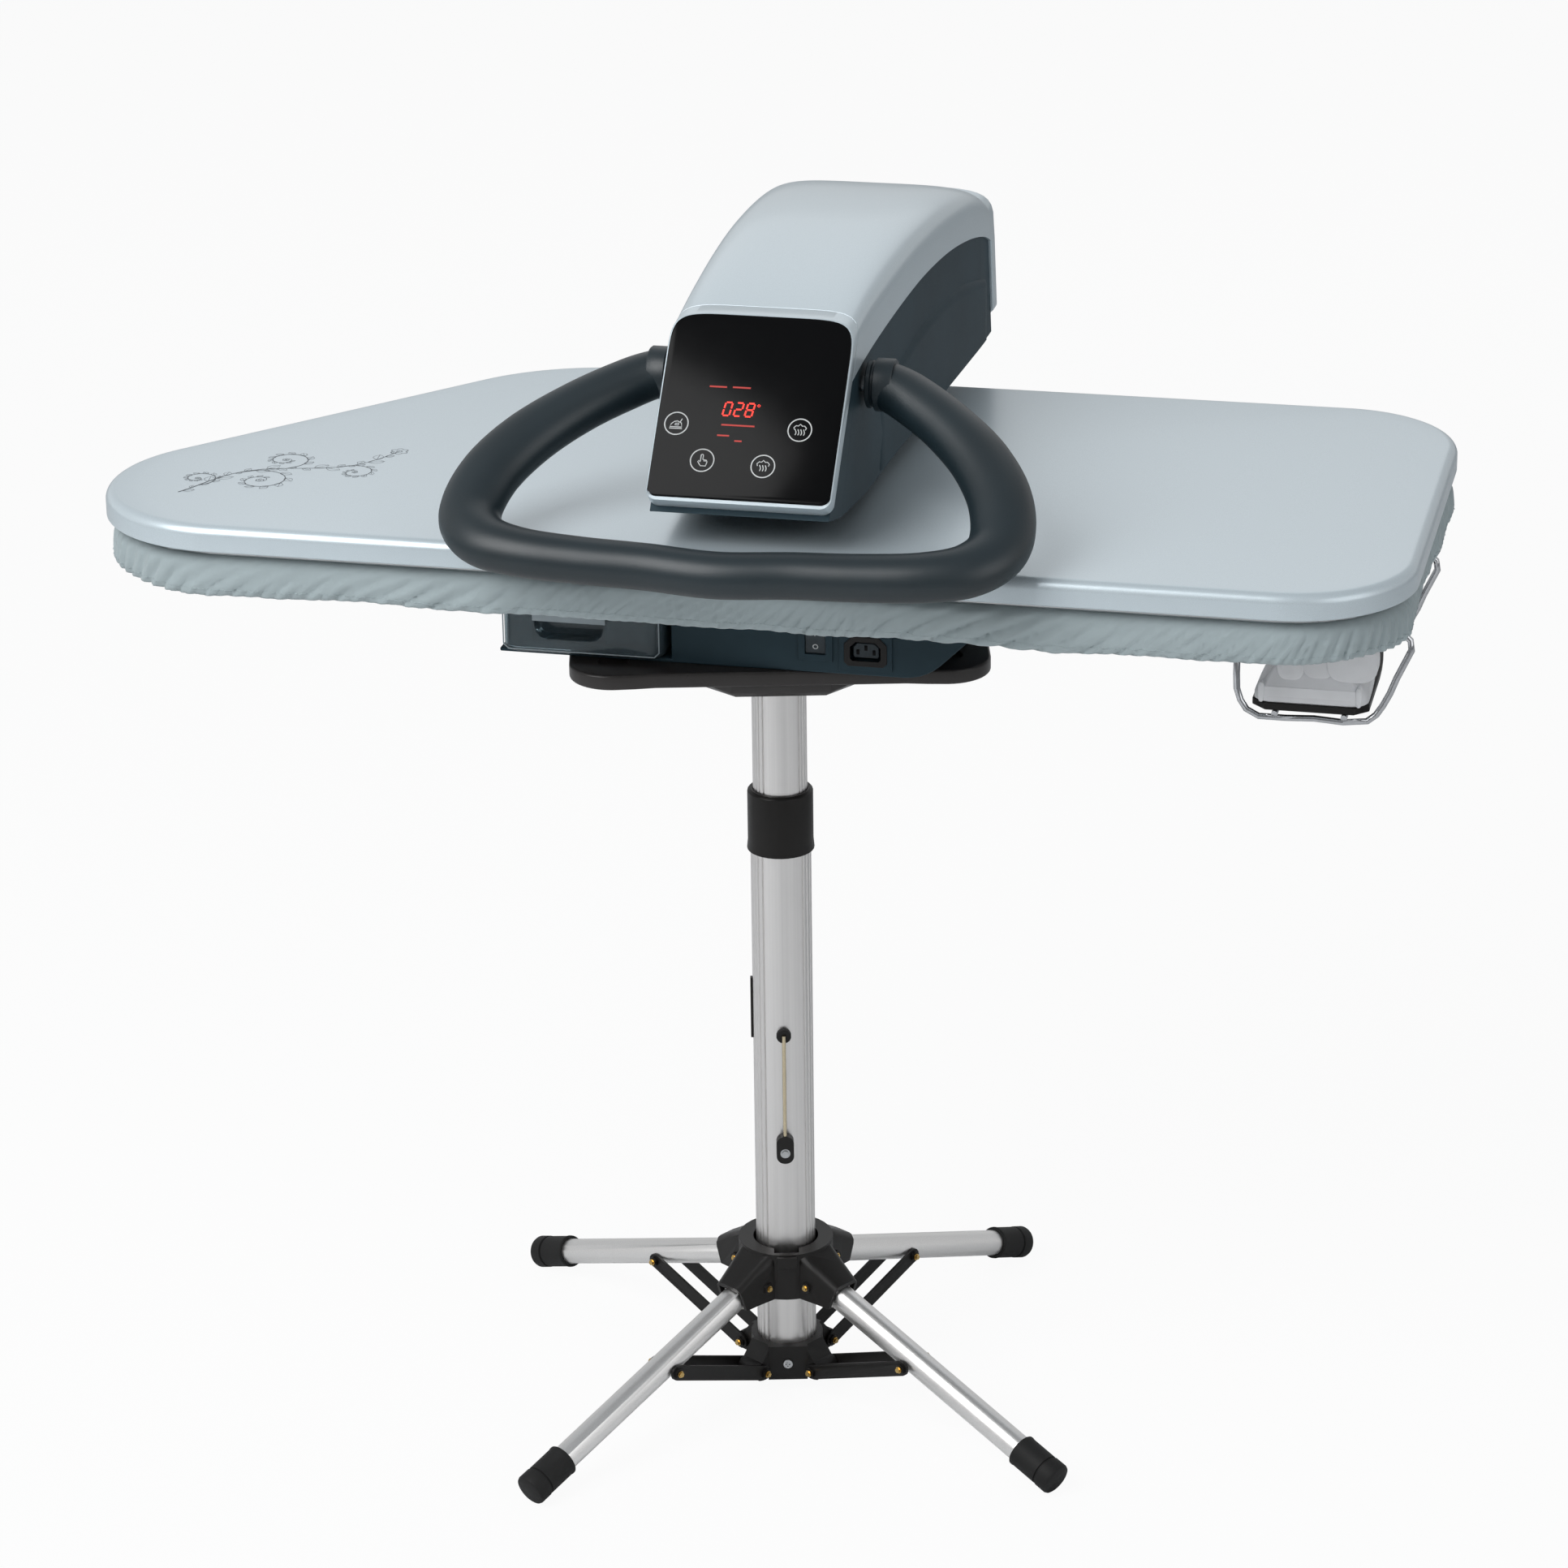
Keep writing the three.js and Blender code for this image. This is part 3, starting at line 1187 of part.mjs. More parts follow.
// Hinge bracket: a foot under the board and an upright behind it, bored for the shaft.
const bracketHalf = 44;
const bracketBefore = 22;
const bracketBehind = 20;
const bracketRound = 21;
const bracketFront = hingeY - bracketBefore;
const bracketRear = hingeY + bracketBehind;
const footGap = 6;
const footThick = 16;
const footPad = 32;
const footTop = panelUnder - footGap;
const footUnder = footTop - footThick;
const upright = [[bracketFront, footUnder], [bracketRear, footUnder],
  ...arcPoints((bracketFront + bracketRear) / 2, hingeZ, bracketRound, 0, Math.PI, 10)];
let bracket = prismX(upright, headX - bracketHalf, headX + bracketHalf);
bracket = bracket.add(box(headX - bracketHalf, headX + bracketHalf, baseRear, bracketFront + 1,
  footUnder, footTop));
bracket = bracket.add(box(headX - bracketHalf, headX + bracketHalf, baseRear, baseRear + footPad,
  footUnder, panelUnder));
bracket = bracket.subtract(discX(headX - farSide, headX + farSide, hingeY, hingeZ,
  shaftRadius + pinGap, smallSteps));
addPiece(press, 'hinge_bracket', bracket, materials.slate);
addPiece(press, 'hinge_shaft', discX(headX - shaftEnd + seatGap, headX + shaftEnd - seatGap, hingeY,
  hingeZ, shaftRadius, smallSteps), materials.steel);

// Handle: a flat-oval loop round the front of the head, on a shaft through the arm.
// Half of its path from the pivot: place beside it, before it, over it, half width, half height.
const loopHalf = [
  [86, 0, 0, 19, 17],
  [106, -9, -6, 20, 18],
  [140, -34, -19, 21, 18.5],
  [172, -66, -36, 23, 19],
  [193, -102, -55, 24, 19],
  [198, -138, -74, 23.5, 18.5],
  [182, -165, -83, 21.5, 18],
  [150, -178, -86.5, 19, 17.5],
  [104, -182, -88.5, 18, 17],
  [54, -184, -89.5, 17.5, 17],
  [0, -190, -90.5, 17.5, 17],
];
const loopPath = loopHalf.map(([x, y, z]) => new THREE.Vector3(headX + x, handleY + y, handleZ + z));
const loopWays = loopHalf.map(([, , , wide, tall]) => [wide, tall]);
for (let i = loopHalf.length - 2; i >= 0; i -= 1) {
  const [x, y, z, wide, tall] = loopHalf[i];
  loopPath.push(new THREE.Vector3(headX - x, handleY + y, handleZ + z));
  loopWays.push([wide, tall]);
}
const loopCurve = new THREE.CatmullRomCurve3(loopPath, false, 'centripetal');
const loopStations = 36;
const loopSteps = 12;
const loopSlope = Math.atan2(loopHalf[10][2], loopHalf[10][1]) + Math.PI;
const loopNormal = new THREE.Vector3(0, -Math.sin(loopSlope), Math.cos(loopSlope));
const loopRings = [];
for (let i = 0; i <= loopStations; i += 1) {
  const share = i / loopStations;
  const centre = loopCurve.getPoint(share);
  const way = loopCurve.getTangent(share);
  const across = way.clone().cross(loopNormal).normalize();
  const above = across.clone().cross(way).normalize();
  const at = share * (loopWays.length - 1);
  const low = Math.min(Math.floor(at), loopWays.length - 2);
  const part = at - low;
  const wide = loopWays[low][0] * (1 - part) + loopWays[low + 1][0] * part;
  const tall = loopWays[low][1] * (1 - part) + loopWays[low + 1][1] * part;
  const ring = [];
  for (let j = 0; j < loopSteps; j += 1) {
    const angle = 2 * Math.PI * j / loopSteps;
    const point = centre.clone().addScaledVector(across, wide * Math.cos(angle));
    point.addScaledVector(above, tall * Math.sin(angle));
    ring.push(point.toArray());
  }
  loopRings.push(ring);
}
let loop = loft(loopRings);
const loopEyeFrom = 73;
const loopEyeTo = 94;
const loopEyeRadius = 20;
for (const side of [-1, 1]) {
  loop = loop.add(discX(headX + side * loopEyeFrom, headX + side * loopEyeTo, handleY, handleZ,
    loopEyeRadius, roundSteps));
}
const shaftReach = 90;
loop = loop.subtract(discX(headX - shaftReach - seatGap, headX + shaftReach + seatGap, handleY, handleZ,
  handleShaftRadius + pinGap, smallSteps));
addPiece(press, 'handle_loop', loop, materials.charcoal);
addPiece(press, 'handle_shaft', discX(headX - shaftReach, headX + shaftReach, handleY, handleZ,
  handleShaftRadius, smallSteps), materials.steel);

// Wire rest under the right end of the board, with the steam iron on its rails.
const restWire = 2.6;
const restFront = 134 - halfDepth;
const restRear = halfDepth - 146;
const restDrop = 84;
const railZ = panelUnder - restDrop;
// Points of a hoop: from the square end of the board inward, and below the panel.
const hoop = [[137, 0], [137, 18], [137, 46], [135, 70], [124, restDrop], [81, restDrop + 0.5],
  [38, restDrop], [26, 70], [16, 46], [7, 23], [18, 13], [35, 9], [37, 0]];
const hoopBow = 8;
function wireLoop(y, bow) {
  const points = hoop.map(([inward, drop]) => {
    const share = drop / restDrop;
    return new THREE.Vector3(halfLength - inward, y + bow * share, panelUnder - drop);
  });
  const curve = new THREE.CatmullRomCurve3(points, false, 'centripetal');
  const rings = [];
  const parts = 26;
  for (let i = 0; i <= parts; i += 1) {
    const centre = curve.getPoint(i / parts);
    const upright = new THREE.Vector3(0, 0, i === 0 ? -1 : 1);
    const way = i === 0 || i === parts ? upright : curve.getTangent(i / parts);
    const e1 = new THREE.Vector3(0, 1, 0);
    e1.addScaledVector(way, -way.y).normalize();
    const e2 = way.clone().cross(e1);
    const ring = [];
    for (let j = 0; j < wireSteps; j += 1) {
      const angle = 2 * Math.PI * j / wireSteps;
      const point = centre.clone().addScaledVector(e1, restWire * Math.cos(angle));
      ring.push(point.addScaledVector(e2, restWire * Math.sin(angle)).toArray());
    }
    rings.push(ring);
  }
  return loft(rings);
}
const railRise = 2.2;
const railPast = 12;
const railHalf = 26;
const ironInset = 81;
const ironX = halfLength - ironInset;
let restSolid = wireLoop(restFront, -hoopBow).add(wireLoop(restRear, hoopBow));
for (const x of [ironX - railHalf, ironX + railHalf]) {
  restSolid = restSolid.add(rod([x, restFront - railPast, railZ + railRise],
    [x, restRear + railPast, railZ + railRise], restWire, wireSteps));
}
addPiece(press, 'iron_rest', restSolid, materials.chrome);

// Steam iron: sole, body, tank, handle and button; its heel faces forward.
const ironHeel = restFront - railPast;
const ironLength = 220;
const ironTip = ironHeel + ironLength;
const ironHalf = 44;
const ironHeelCorner = 10;
const ironStraight = 60;
const soleLift = 0.1;
const soleUnder = railZ + railRise + restWire + soleLift;
const tipFlat = 0.01;
function ironRing(inset, z) {
  const ring = [];
  const half = ironHalf - inset;
  const heel = ironHeel + inset;
  ring.push([ironX - half + ironHeelCorner, heel], [ironX + half - ironHeelCorner, heel],
    [ironX + half, heel + ironHeelCorner]);
  const parts = 8;
  const sides = [];
  for (let i = 0; i <= parts; i += 1) {
    const share = i / parts;
    const y = heel + ironStraight + (ironTip - inset - heel - ironStraight) * share;
    sides.push([half * Math.sqrt(Math.max(0, 1 - share ** 2.4)), y]);
  }
  ring.push(...sides.map(([x, y], i) => [ironX + x + (i === parts ? tipFlat : 0), y]));
  ring.push(...sides.slice(0, parts).reverse().map(([x, y]) => [ironX - x, y]));
  ring.push([ironX - half, heel + ironHeelCorner]);
  return ring.map(([x, y]) => [x, y, z]);
}
const soleThick = 6;
const soleTop = soleUnder + soleThick;
addPiece(press, 'iron_soleplate', loft([ironRing(1, soleUnder), ironRing(0, soleUnder + 1),
  ironRing(0, soleTop)]), materials.black);
const ironBodyTall = 18;
const bodyTop = soleTop + ironBodyTall;
addPiece(press, 'iron_body', loft([ironRing(1, soleTop), ironRing(4, soleTop + ironBodyTall / 2),
  ironRing(12, bodyTop - 3), ironRing(18, bodyTop)]), materials.white);

const gripRise = 42;
const gripTop = bodyTop + gripRise;
const gripHalf = 14;
const gripUnder = 28;
const gripOutline = [[-96, 0], [-66, 0], [-60, gripUnder - 2], [36, gripUnder], [44, 0], [74, 0],
  [66, 26], [44, gripRise - 5], [0, gripRise], [-70, gripRise - 4], [-92, gripRise - 14]];
const buttonHalf = 7;
const buttonFrom = ironHeel + 64;
const buttonTo = buttonFrom + 24;
const buttonSunk = 5;
const buttonProud = 2;
const gripMiddle = ironHeel + 108;
let gripSolid = prismX(gripOutline.map(([y, z]) => [gripMiddle + y, bodyTop + z]), ironX - gripHalf,
  ironX + gripHalf);
gripSolid = gripSolid.subtract(box(ironX - buttonHalf - seatGap, ironX + buttonHalf + seatGap,
  buttonFrom - seatGap, buttonTo + seatGap, gripTop - buttonSunk - seatGap, gripTop + overrun));
addPiece(press, 'iron_handle', gripSolid, materials.white);
const ironTankHalf = 20;
const ironTankTall = 7;
addPiece(press, 'iron_tank', softBlock(ironX - ironTankHalf, ironX + ironTankHalf, gripMiddle - 56,
  gripMiddle + 32, bodyTop, bodyTop + ironTankTall, 8, 2), materials.tank);
addPiece(press, 'iron_button', softBlock(ironX - buttonHalf, ironX + buttonHalf, buttonFrom, buttonTo,
  gripTop - buttonSunk, gripTop + buttonProud, 4, 1), materials.blue);

// The middle of the whole press in plan comes to the origin.
press.updateMatrixWorld(true);
const extent = new THREE.Box3().setFromObject(press, true);
press.position.y = -(extent.min.y + extent.max.y) / 2;
press.position.x = -(extent.min.x + extent.max.x) / 2;

export default press;
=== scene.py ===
"""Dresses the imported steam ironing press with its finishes, its cloth and its fine shapes."""

import contextlib
import functools
import itertools
import json
import math

import bmesh
import bpy
from mathutils import Matrix, Vector, noise


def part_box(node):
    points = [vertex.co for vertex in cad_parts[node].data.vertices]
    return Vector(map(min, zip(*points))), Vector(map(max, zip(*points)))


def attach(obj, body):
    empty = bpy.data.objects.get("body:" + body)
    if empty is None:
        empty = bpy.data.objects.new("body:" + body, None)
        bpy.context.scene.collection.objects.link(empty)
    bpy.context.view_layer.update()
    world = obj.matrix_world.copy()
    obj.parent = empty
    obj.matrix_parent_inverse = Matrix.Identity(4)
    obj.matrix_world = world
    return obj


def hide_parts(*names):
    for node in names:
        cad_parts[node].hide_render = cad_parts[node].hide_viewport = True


bl_info = {
    "name": "Steam ironing press",
    "version": (1, 0, 0),
    "blender": (4, 5, 0),
    "location": "View3D > Sidebar > Press",
    "description": "Dresses the packed steam ironing press piece by piece",
    "category": "Object",
}

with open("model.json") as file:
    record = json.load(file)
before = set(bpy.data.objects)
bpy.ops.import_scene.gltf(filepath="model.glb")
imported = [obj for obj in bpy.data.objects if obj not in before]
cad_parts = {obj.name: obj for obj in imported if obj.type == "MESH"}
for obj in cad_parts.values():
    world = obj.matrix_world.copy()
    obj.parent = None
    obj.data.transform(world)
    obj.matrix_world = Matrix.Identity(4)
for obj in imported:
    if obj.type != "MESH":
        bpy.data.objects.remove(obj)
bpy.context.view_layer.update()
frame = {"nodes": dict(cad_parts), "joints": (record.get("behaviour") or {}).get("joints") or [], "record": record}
BODY_OF = {
    node: body
    for body, nodes in frame["record"]["behaviour"]["bodies"].items()
    for node in nodes
}
SLOT_OF = {part["node"]: part["material_slot"] for part in frame["record"]["subparts"]}
JOINTS = {joint["name"]: joint for joint in frame["joints"]}

# The middle of the board in plan, and the middle of the head and of the column.
SHELL_LOW, SHELL_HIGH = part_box("shoe_cover")
BOARD_MIDDLE = Vector(((SHELL_LOW.x + SHELL_HIGH.x) / 2, (SHELL_LOW.y + SHELL_HIGH.y) / 2, 0))
HEAD_X = JOINTS["head_tilt"]["pos_m"][0]
SLEEVE_LOW, SLEEVE_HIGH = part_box("clamp_sleeve")
COLUMN = Vector(((SLEEVE_LOW.x + SLEEVE_HIGH.x) / 2, (SLEEVE_LOW.y + SLEEVE_HIGH.y) / 2, 0))
STAND_TURN = math.radians(14)
LEGS = ("rear_right", "rear_left", "front_left", "front_right")


def number(name, description, default, **options):
    return bpy.props.FloatProperty(
        name=name, description=description, default=default, **options)


def span(name, description, default):
    """A length in the panel."""
    return number(name, description, default, unit="LENGTH")


def tone(name, description, default):
    """A colour in the panel."""
    return bpy.props.FloatVectorProperty(
        name=name, description=description, default=default, subtype="COLOR")


class BoardSizes(bpy.types.PropertyGroup):
    """Plan of the board and the shape of the shell and the cloth on it."""

    length: span("Length", "Length of the shell", 1.010)
    depth: span("Depth", "Depth of the shell", 0.460)
    corner: span("Corner", "Radius of the right corners", 0.095)
    shoulder: span("Shoulder", "Radius where the taper starts", 0.150)
    nose: span("Nose", "Radius of the round left end", 0.111)
    taper: number("Taper", "Turn of the tapered side", math.radians(50.4), subtype="ANGLE")
    dome: span("Dome", "Rise of the shell's top toward its middle", 0.0025)
    fold: span("Fold", "Height of the folds in the cloth", 0.0080)
    fold_pitch: span("Fold pitch", "Distance between folds along the edge", 0.027)


class HeadSizes(bpy.types.PropertyGroup):
    """Shape of the arched head and of its face."""

    cover_drop: span("Cover drop", "Depth of the cover's sides", 0.042)
    cover_wall: span("Cover wall", "Thickness of the cover", 0.0026)
    button: span("Button", "Radius of a touch button's ring", 0.0088)
    line: span("Line", "Width of the printed lines", 0.0007)
    face_rim: span("Face rim", "Width of the silver rim beside the gloss panel", 0.0009)
    face_lip: span("Face lip", "Height of the silver lip under the gloss panel", 0.0030)


class StandSizes(bpy.types.PropertyGroup):
    """Fine shape of the tubes and of the screws on the stand."""

    flute: span("Flute", "Depth of the grooves in the tubes", 0.0016)
    bolt: span("Bolt", "Radius of a brace bolt's head", 0.0021)


class FinishColours(bpy.types.PropertyGroup):
    """Colours of the finishes."""

    silver: tone("Silver", "Shell and head paint", (0.635, 0.725, 0.775))
    slate: tone("Slate", "Base unit and arm", (0.025, 0.048, 0.062))
    charcoal: tone("Charcoal", "Handle", (0.010, 0.020, 0.026))
    cloth: tone("Cloth", "Fitted cotton cover", (0.40, 0.475, 0.495))
    led: tone("Digits", "Lit digits", (1.0, 0.03, 0.012))


class StageSettings(bpy.types.PropertyGroup):
    """Camera and light of the picture."""

    key: number("Key", "Power of the large lamp", 92.0, subtype="POWER")
    fill: number("Fill", "Power of the side lamp", 14.0, subtype="POWER")
    world: number("World", "Strength of the surrounding light", 0.33)
    mirrored: number("Mirrored", "Strength of the surroundings in reflections", 0.66)
    distance: span("Distance", "From the camera to its aim", 4.0)


def shared(name):
    """A property group on the scene."""
    return getattr(bpy.context.scene, "press_" + name)


# Nodes and materials


def add_node(tree, kind, *sources, **values):
    """A node whose first inputs come from the given sockets, with its other inputs set."""
    node = tree.nodes.new(kind)
    for key, value in values.items():
        label = key.replace("_", " ")
        if label not in node.inputs:
            setattr(node, key, value)
        elif isinstance(value, bpy.types.NodeSocket):
            tree.links.new(value, node.inputs[label])
        else:
            node.inputs[label].default_value = value
    for target, source in zip(node.inputs, sources):
        tree.links.new(source, target)
    return node


def scaled(tree, factor, share):
    """A factor times a number."""
    product = add_node(tree, "ShaderNodeMath", factor, operation="MULTIPLY")
    product.inputs[1].default_value = share
    return product.outputs["Value"]


def ramp_between(tree, factor, low, high):
    """A colour that runs between two stops of (position, colour)."""
    ramp = add_node(tree, "ShaderNodeValToRGB", factor)
    for stop, (position, colour) in zip(ramp.color_ramp.elements, (low, high)):
        stop.position = position
        stop.color = (*colour, 1)
    return ramp.outputs["Color"]


def white_to_eye(tree, light, white, share, output):
    """Shows the camera a share of white in place of a light; returns the light path's node."""
    path = add_node(tree, "ShaderNodeLightPath")
    seen = add_node(tree, "ShaderNodeMath", path.outputs["Is Camera Ray"],
                    path.outputs["Is Transmission Ray"], operation="MAXIMUM")
    mixed = add_node(tree, "ShaderNodeMixShader", scaled(tree, seen.outputs["Value"], share),
                     light, white)
    tree.links.new(mixed.outputs["Shader"], tree.nodes[output].inputs["Surface"])
    return path


def shader_of(material):
    return material.node_tree.nodes["Principled BSDF"]


def new_material(name, colour, metallic, roughness, **sockets):
    material = bpy.data.materials.new(name)
    material.use_nodes = True
    inputs = shader_of(material).inputs
    inputs["Base Color"].default_value = (*colour, 1)
    inputs["Metallic"].default_value = metallic
    inputs["Roughness"].default_value = roughness
    for socket, value in sockets.items():
        inputs[socket.replace("_", " ")].default_value = value
    return material


EVEN = (1, 1, 1)


def surface_noise(material, scale, detail, stretch=EVEN, space="Object"):
    """Noise over the object, stretched along its axes."""
    tree = material.node_tree
    spot = add_node(tree, "ShaderNodeTexCoord").outputs[space]
    mapping = add_node(tree, "ShaderNodeMapping", spot, Scale=stretch)
    return add_node(tree, "ShaderNodeTexNoise", mapping.outputs["Vector"],
                    Scale=scale, Detail=detail, Roughness=0.6).outputs["Fac"]


def add_bump(material, height, strength, distance):
    tree = material.node_tree
    normal = shader_of(material).inputs["Normal"]
    bump = add_node(tree, "ShaderNodeBump", Strength=strength, Distance=distance, Height=height)
    if normal.is_linked:
        tree.links.new(normal.links[0].from_socket, bump.inputs["Normal"])
    tree.links.new(bump.outputs["Normal"], normal)


def spread_roughness(material, factor, low, high):
    tree = material.node_tree
    spread = add_node(tree, "ShaderNodeMapRange", factor, To_Min=low, To_Max=high)
    tree.links.new(spread.outputs["Result"], shader_of(material).inputs["Roughness"])


def spread_colour(material, factor, colour, less, more):
    """The base colour runs between two tints of a colour over the middle of the factor."""
    tree = material.node_tree
    stops = [(position, [min(1, part * tint) for part in colour])
             for position, tint in ((0.3, less), (0.7, more))]
    spread = ramp_between(tree, factor, *stops)
    tree.links.new(spread, shader_of(material).inputs["Base Color"])


def silver_paint():
    colour = shared("colours").silver
    material = new_material("silver_paint", colour, 0.35, 0.36,
                            Coat_Weight=0.32, Coat_Roughness=0.14)
    flakes = surface_noise(material, 2600, 1)
    spread_colour(material, flakes, colour, 0.93, 1.07)
    add_bump(material, flakes, 0.06, 0.00004)
    add_bump(material, surface_noise(material, 24, 2), 0.05, 0.0006)
    return material


def grained(name, colour, roughness, scale, distance, shine):
    """Moulded plastic or paint with a fine grain and a slight unevenness of tone."""
    if isinstance(colour, str):
        colour = getattr(shared("colours"), colour)
    material = new_material(name, colour, 0.0, roughness, Specular_IOR_Level=shine)
    grain = surface_noise(material, scale, 2)
    spread_roughness(material, grain, roughness - 0.06, roughness + 0.10)
    spread_colour(material, surface_noise(material, 14, 3), colour, 0.88, 1.12)
    add_bump(material, grain, 0.5, distance)
    return material


def brushed(name, colour, roughness, scale, stretch=EVEN):
    """Metal whose fine lines run along one axis of the object."""
    material = new_material(name, colour, 1.0, roughness)
    lines = surface_noise(material, scale, 3, stretch)
    spread_roughness(material, lines, roughness - 0.07, roughness + 0.09)
    spread_colour(material, lines, colour, 0.93, 1.05)
    add_bump(material, lines, 0.10, 0.00005)
    return material


def gloss_black():
    material = new_material("gloss_black", (0.0035, 0.0036, 0.004), 0.0, 0.16,
                            Specular_IOR_Level=0.09)
    spread_roughness(material, surface_noise(material, 60, 3), 0.12, 0.20)
    return material


def clear_tank():
    material = new_material("clear_tank", (0.24, 0.32, 0.36), 0.0, 0.05,
                            Transmission_Weight=0.80, IOR=1.40)
    add_bump(material, surface_noise(material, 30, 2), 0.12, 0.0004)
    return material


def cotton():
    """Plain weave: two sets of threads that cross on the cloth's own map."""
    colour = shared("colours").cloth
    material = new_material("cotton", colour, 0.0, 0.78, Sheen_Weight=0.25, Sheen_Roughness=0.5)
    broad = surface_noise(material, 9, 4, (1, 3, 1), "UV")
    spread_colour(material, broad, colour, 0.93, 1.06)
    tree = material.node_tree
    spot = add_node(tree, "ShaderNodeTexCoord").outputs["UV"]
    threads = [add_node(tree, "ShaderNodeTexWave", spot, Scale=520, Distortion=1.2,
                        bands_direction=direction).outputs["Fac"] for direction in "XY"]
    weave = add_node(tree, "ShaderNodeMath", *threads, operation="MULTIPLY")
    add_bump(material, weave.outputs["Value"], 0.35, 0.00018)
    add_bump(material, surface_noise(material, 260, 3, space="UV"), 0.25, 0.0004)
    return material


def lit(name, strength):
    material = new_material(name, (0.02, 0.002, 0.002), 0.0, 0.4,
                            Emission_Color=(*shared("colours").led, 1),
                            Emission_Strength=strength)
    spread_roughness(material, surface_noise(material, 400, 1), 0.35, 0.45)
    return material


# Each finish as the function that makes it and what that needs after the name. For a grained
# one: colour, roughness, scale and depth of its grain, specular level. For a brushed one:
# colour, roughness, scale and stretch of its lines.
FINISHES = {
    "slate_plastic": (grained, "slate", 0.46, 1500, 0.00005, 0.16),
    "charcoal_plastic": (grained, "charcoal", 0.40, 900, 0.00012, 0.62),
    "black_plastic": (grained, (0.0095, 0.0085, 0.0080), 0.36, 1100, 0.00008, 0.3),
    "rocker_plastic": (grained, (0.030, 0.042, 0.050), 0.30, 1100, 0.00005, 0.3),
    # Pale, glossy finish of the strips and the hood on the clear tank: painted highlight.
    "tank_edge": (grained, (0.34, 0.40, 0.43), 0.16, 700, 0.00002, 0.5),
    "black_rubber": (grained, (0.011, 0.011, 0.011), 0.60, 900, 0.00012, 0.3),
    "satin_plate": (grained, (0.026, 0.0225, 0.0215), 0.30, 500, 0.00004, 0.5),
    "black_paint": (grained, (0.0085, 0.0078, 0.0075), 0.38, 500, 0.00008, 0.3),
    "white_plastic": (grained, (0.86, 0.87, 0.89), 0.28, 900, 0.00003, 0.3),
    "blue_plastic": (grained, (0.02, 0.10, 0.40), 0.26, 900, 0.00003, 0.3),
    "felt": (grained, (0.60, 0.57, 0.50), 0.92, 380, 0.0007, 0.3),
    "grey_print": (grained, (0.145, 0.16, 0.175), 0.55, 800, 0.00002, 0.3),
    "white_print": (grained, (0.62, 0.64, 0.64), 0.5, 800, 0.00002, 0.3),
    "anodised_tube": (brushed, (0.79, 0.775, 0.765), 0.33, 260, (1, 1, 0.004)),
    "anodised_leg": (brushed, (0.86, 0.85, 0.84), 0.38, 1400),
    "bare_plate": (brushed, (0.60, 0.61, 0.62), 0.36, 900, (0.02, 1, 1)),
    "zinc_steel": (brushed, (0.55, 0.56, 0.57), 0.30, 500),
    "chrome": (brushed, (0.56, 0.57, 0.59), 0.12, 300),
    "brass": (brushed, (0.60, 0.42, 0.16), 0.24, 500),
    "pale_brass": (brushed, (0.66, 0.57, 0.40), 0.20, 500),
    "lit_digit": (lit, 1.6),
    "dim_digit": (lit, 0.5),
}
SINGLE_FINISHES = (silver_paint, gloss_black, clear_tank, cotton)
# The finish of a material slot, where a piece is given none of its own.
SLOT_FINISH = {
    "silver": "silver_paint",
    "slate": "slate_plastic",
    "charcoal": "charcoal_plastic",
    "anodised": "anodised_tube",
    "black": "black_plastic",
    "rubber": "black_rubber",
    "steel": "zinc_steel",
    "plate": "bare_plate",
    "black_steel": "black_paint",
    "chrome": "chrome",
    "cloth": "cotton",
    "foam": "felt",
    "tank": "clear_tank",
    "white": "white_plastic",
    "blue": "blue_plastic",
}


@functools.cache
def finish_of(name):
    """The material of that name, made once."""
    if name in FINISHES:
        maker, *values = FINISHES[name]
        return maker(name, *values)
    return next(maker for maker in SINGLE_FINISHES if maker.__name__ == name)()


# Meshes


@contextlib.contextmanager
def edited(mesh):
    """The mesh as an edit mesh, written back at the end."""
    shape = bmesh.new()
    shape.from_mesh(mesh)
    yield shape
    shape.to_mesh(mesh)
    shape.free()


def face_outward(shape):
    bmesh.ops.recalc_face_normals(shape, faces=shape.faces)


def link_mesh(name, mesh, smooth_angle=None):
    piece = bpy.data.objects.new(name, mesh)
    bpy.context.scene.collection.objects.link(piece)
    if smooth_angle is not None:
        mesh.polygons.foreach_set("use_smooth", [True] * len(mesh.polygons))
        mesh.set_sharp_from_angle(angle=smooth_angle)
    return piece


def mesh_from(name, points, faces, smooth_angle=math.radians(35), weld=True):
    mesh = bpy.data.meshes.new(name)
    mesh.from_pydata([tuple(point) for point in points], [], faces)
    if weld:
        with edited(mesh) as shape:
            bmesh.ops.remove_doubles(shape, verts=shape.verts, dist=1e-6)
            bmesh.ops.dissolve_degenerate(shape, edges=shape.edges, dist=1e-7)
            face_outward(shape)
    return link_mesh(name, mesh, smooth_angle)


def loft_faces(rings, count, capped=True, closed=False):
    """Faces over rings with equal counts of points, capped or closed from last to first."""
    faces = []
    for ring in range(rings if closed else rings - 1):
        low = ring * count
        high = (ring + 1) % rings * count
        for j in range(count):
            after = (j + 1) % count
            faces.append((low + j, low + after, high + after, high + j))
    if capped:
        faces.append(tuple(reversed(range(count))))
        faces.append(tuple((rings - 1) * count + j for j in range(count)))
    return faces


def loft(name, rings, smooth_angle=math.radians(35), closed=False):
    points = [point for ring in rings for point in ring]
    faces = loft_faces(len(rings), len(rings[0]), not closed, closed)
    return mesh_from(name, points, faces, smooth_angle)


def lathe(name, profile, middle, steps=48, turn=None):
    """A closed profile of radius and height turned round Z, then turned and moved."""
    rings = []
    for radius, height in profile:
        ring = [Vector((x, y, height)) for x, y in arc_line(0, 0, radius, steps=steps)[:-1]]
        rings.append([(turn @ point if turn else point) + middle for point in ring])
    return loft(name, rings, closed=True)


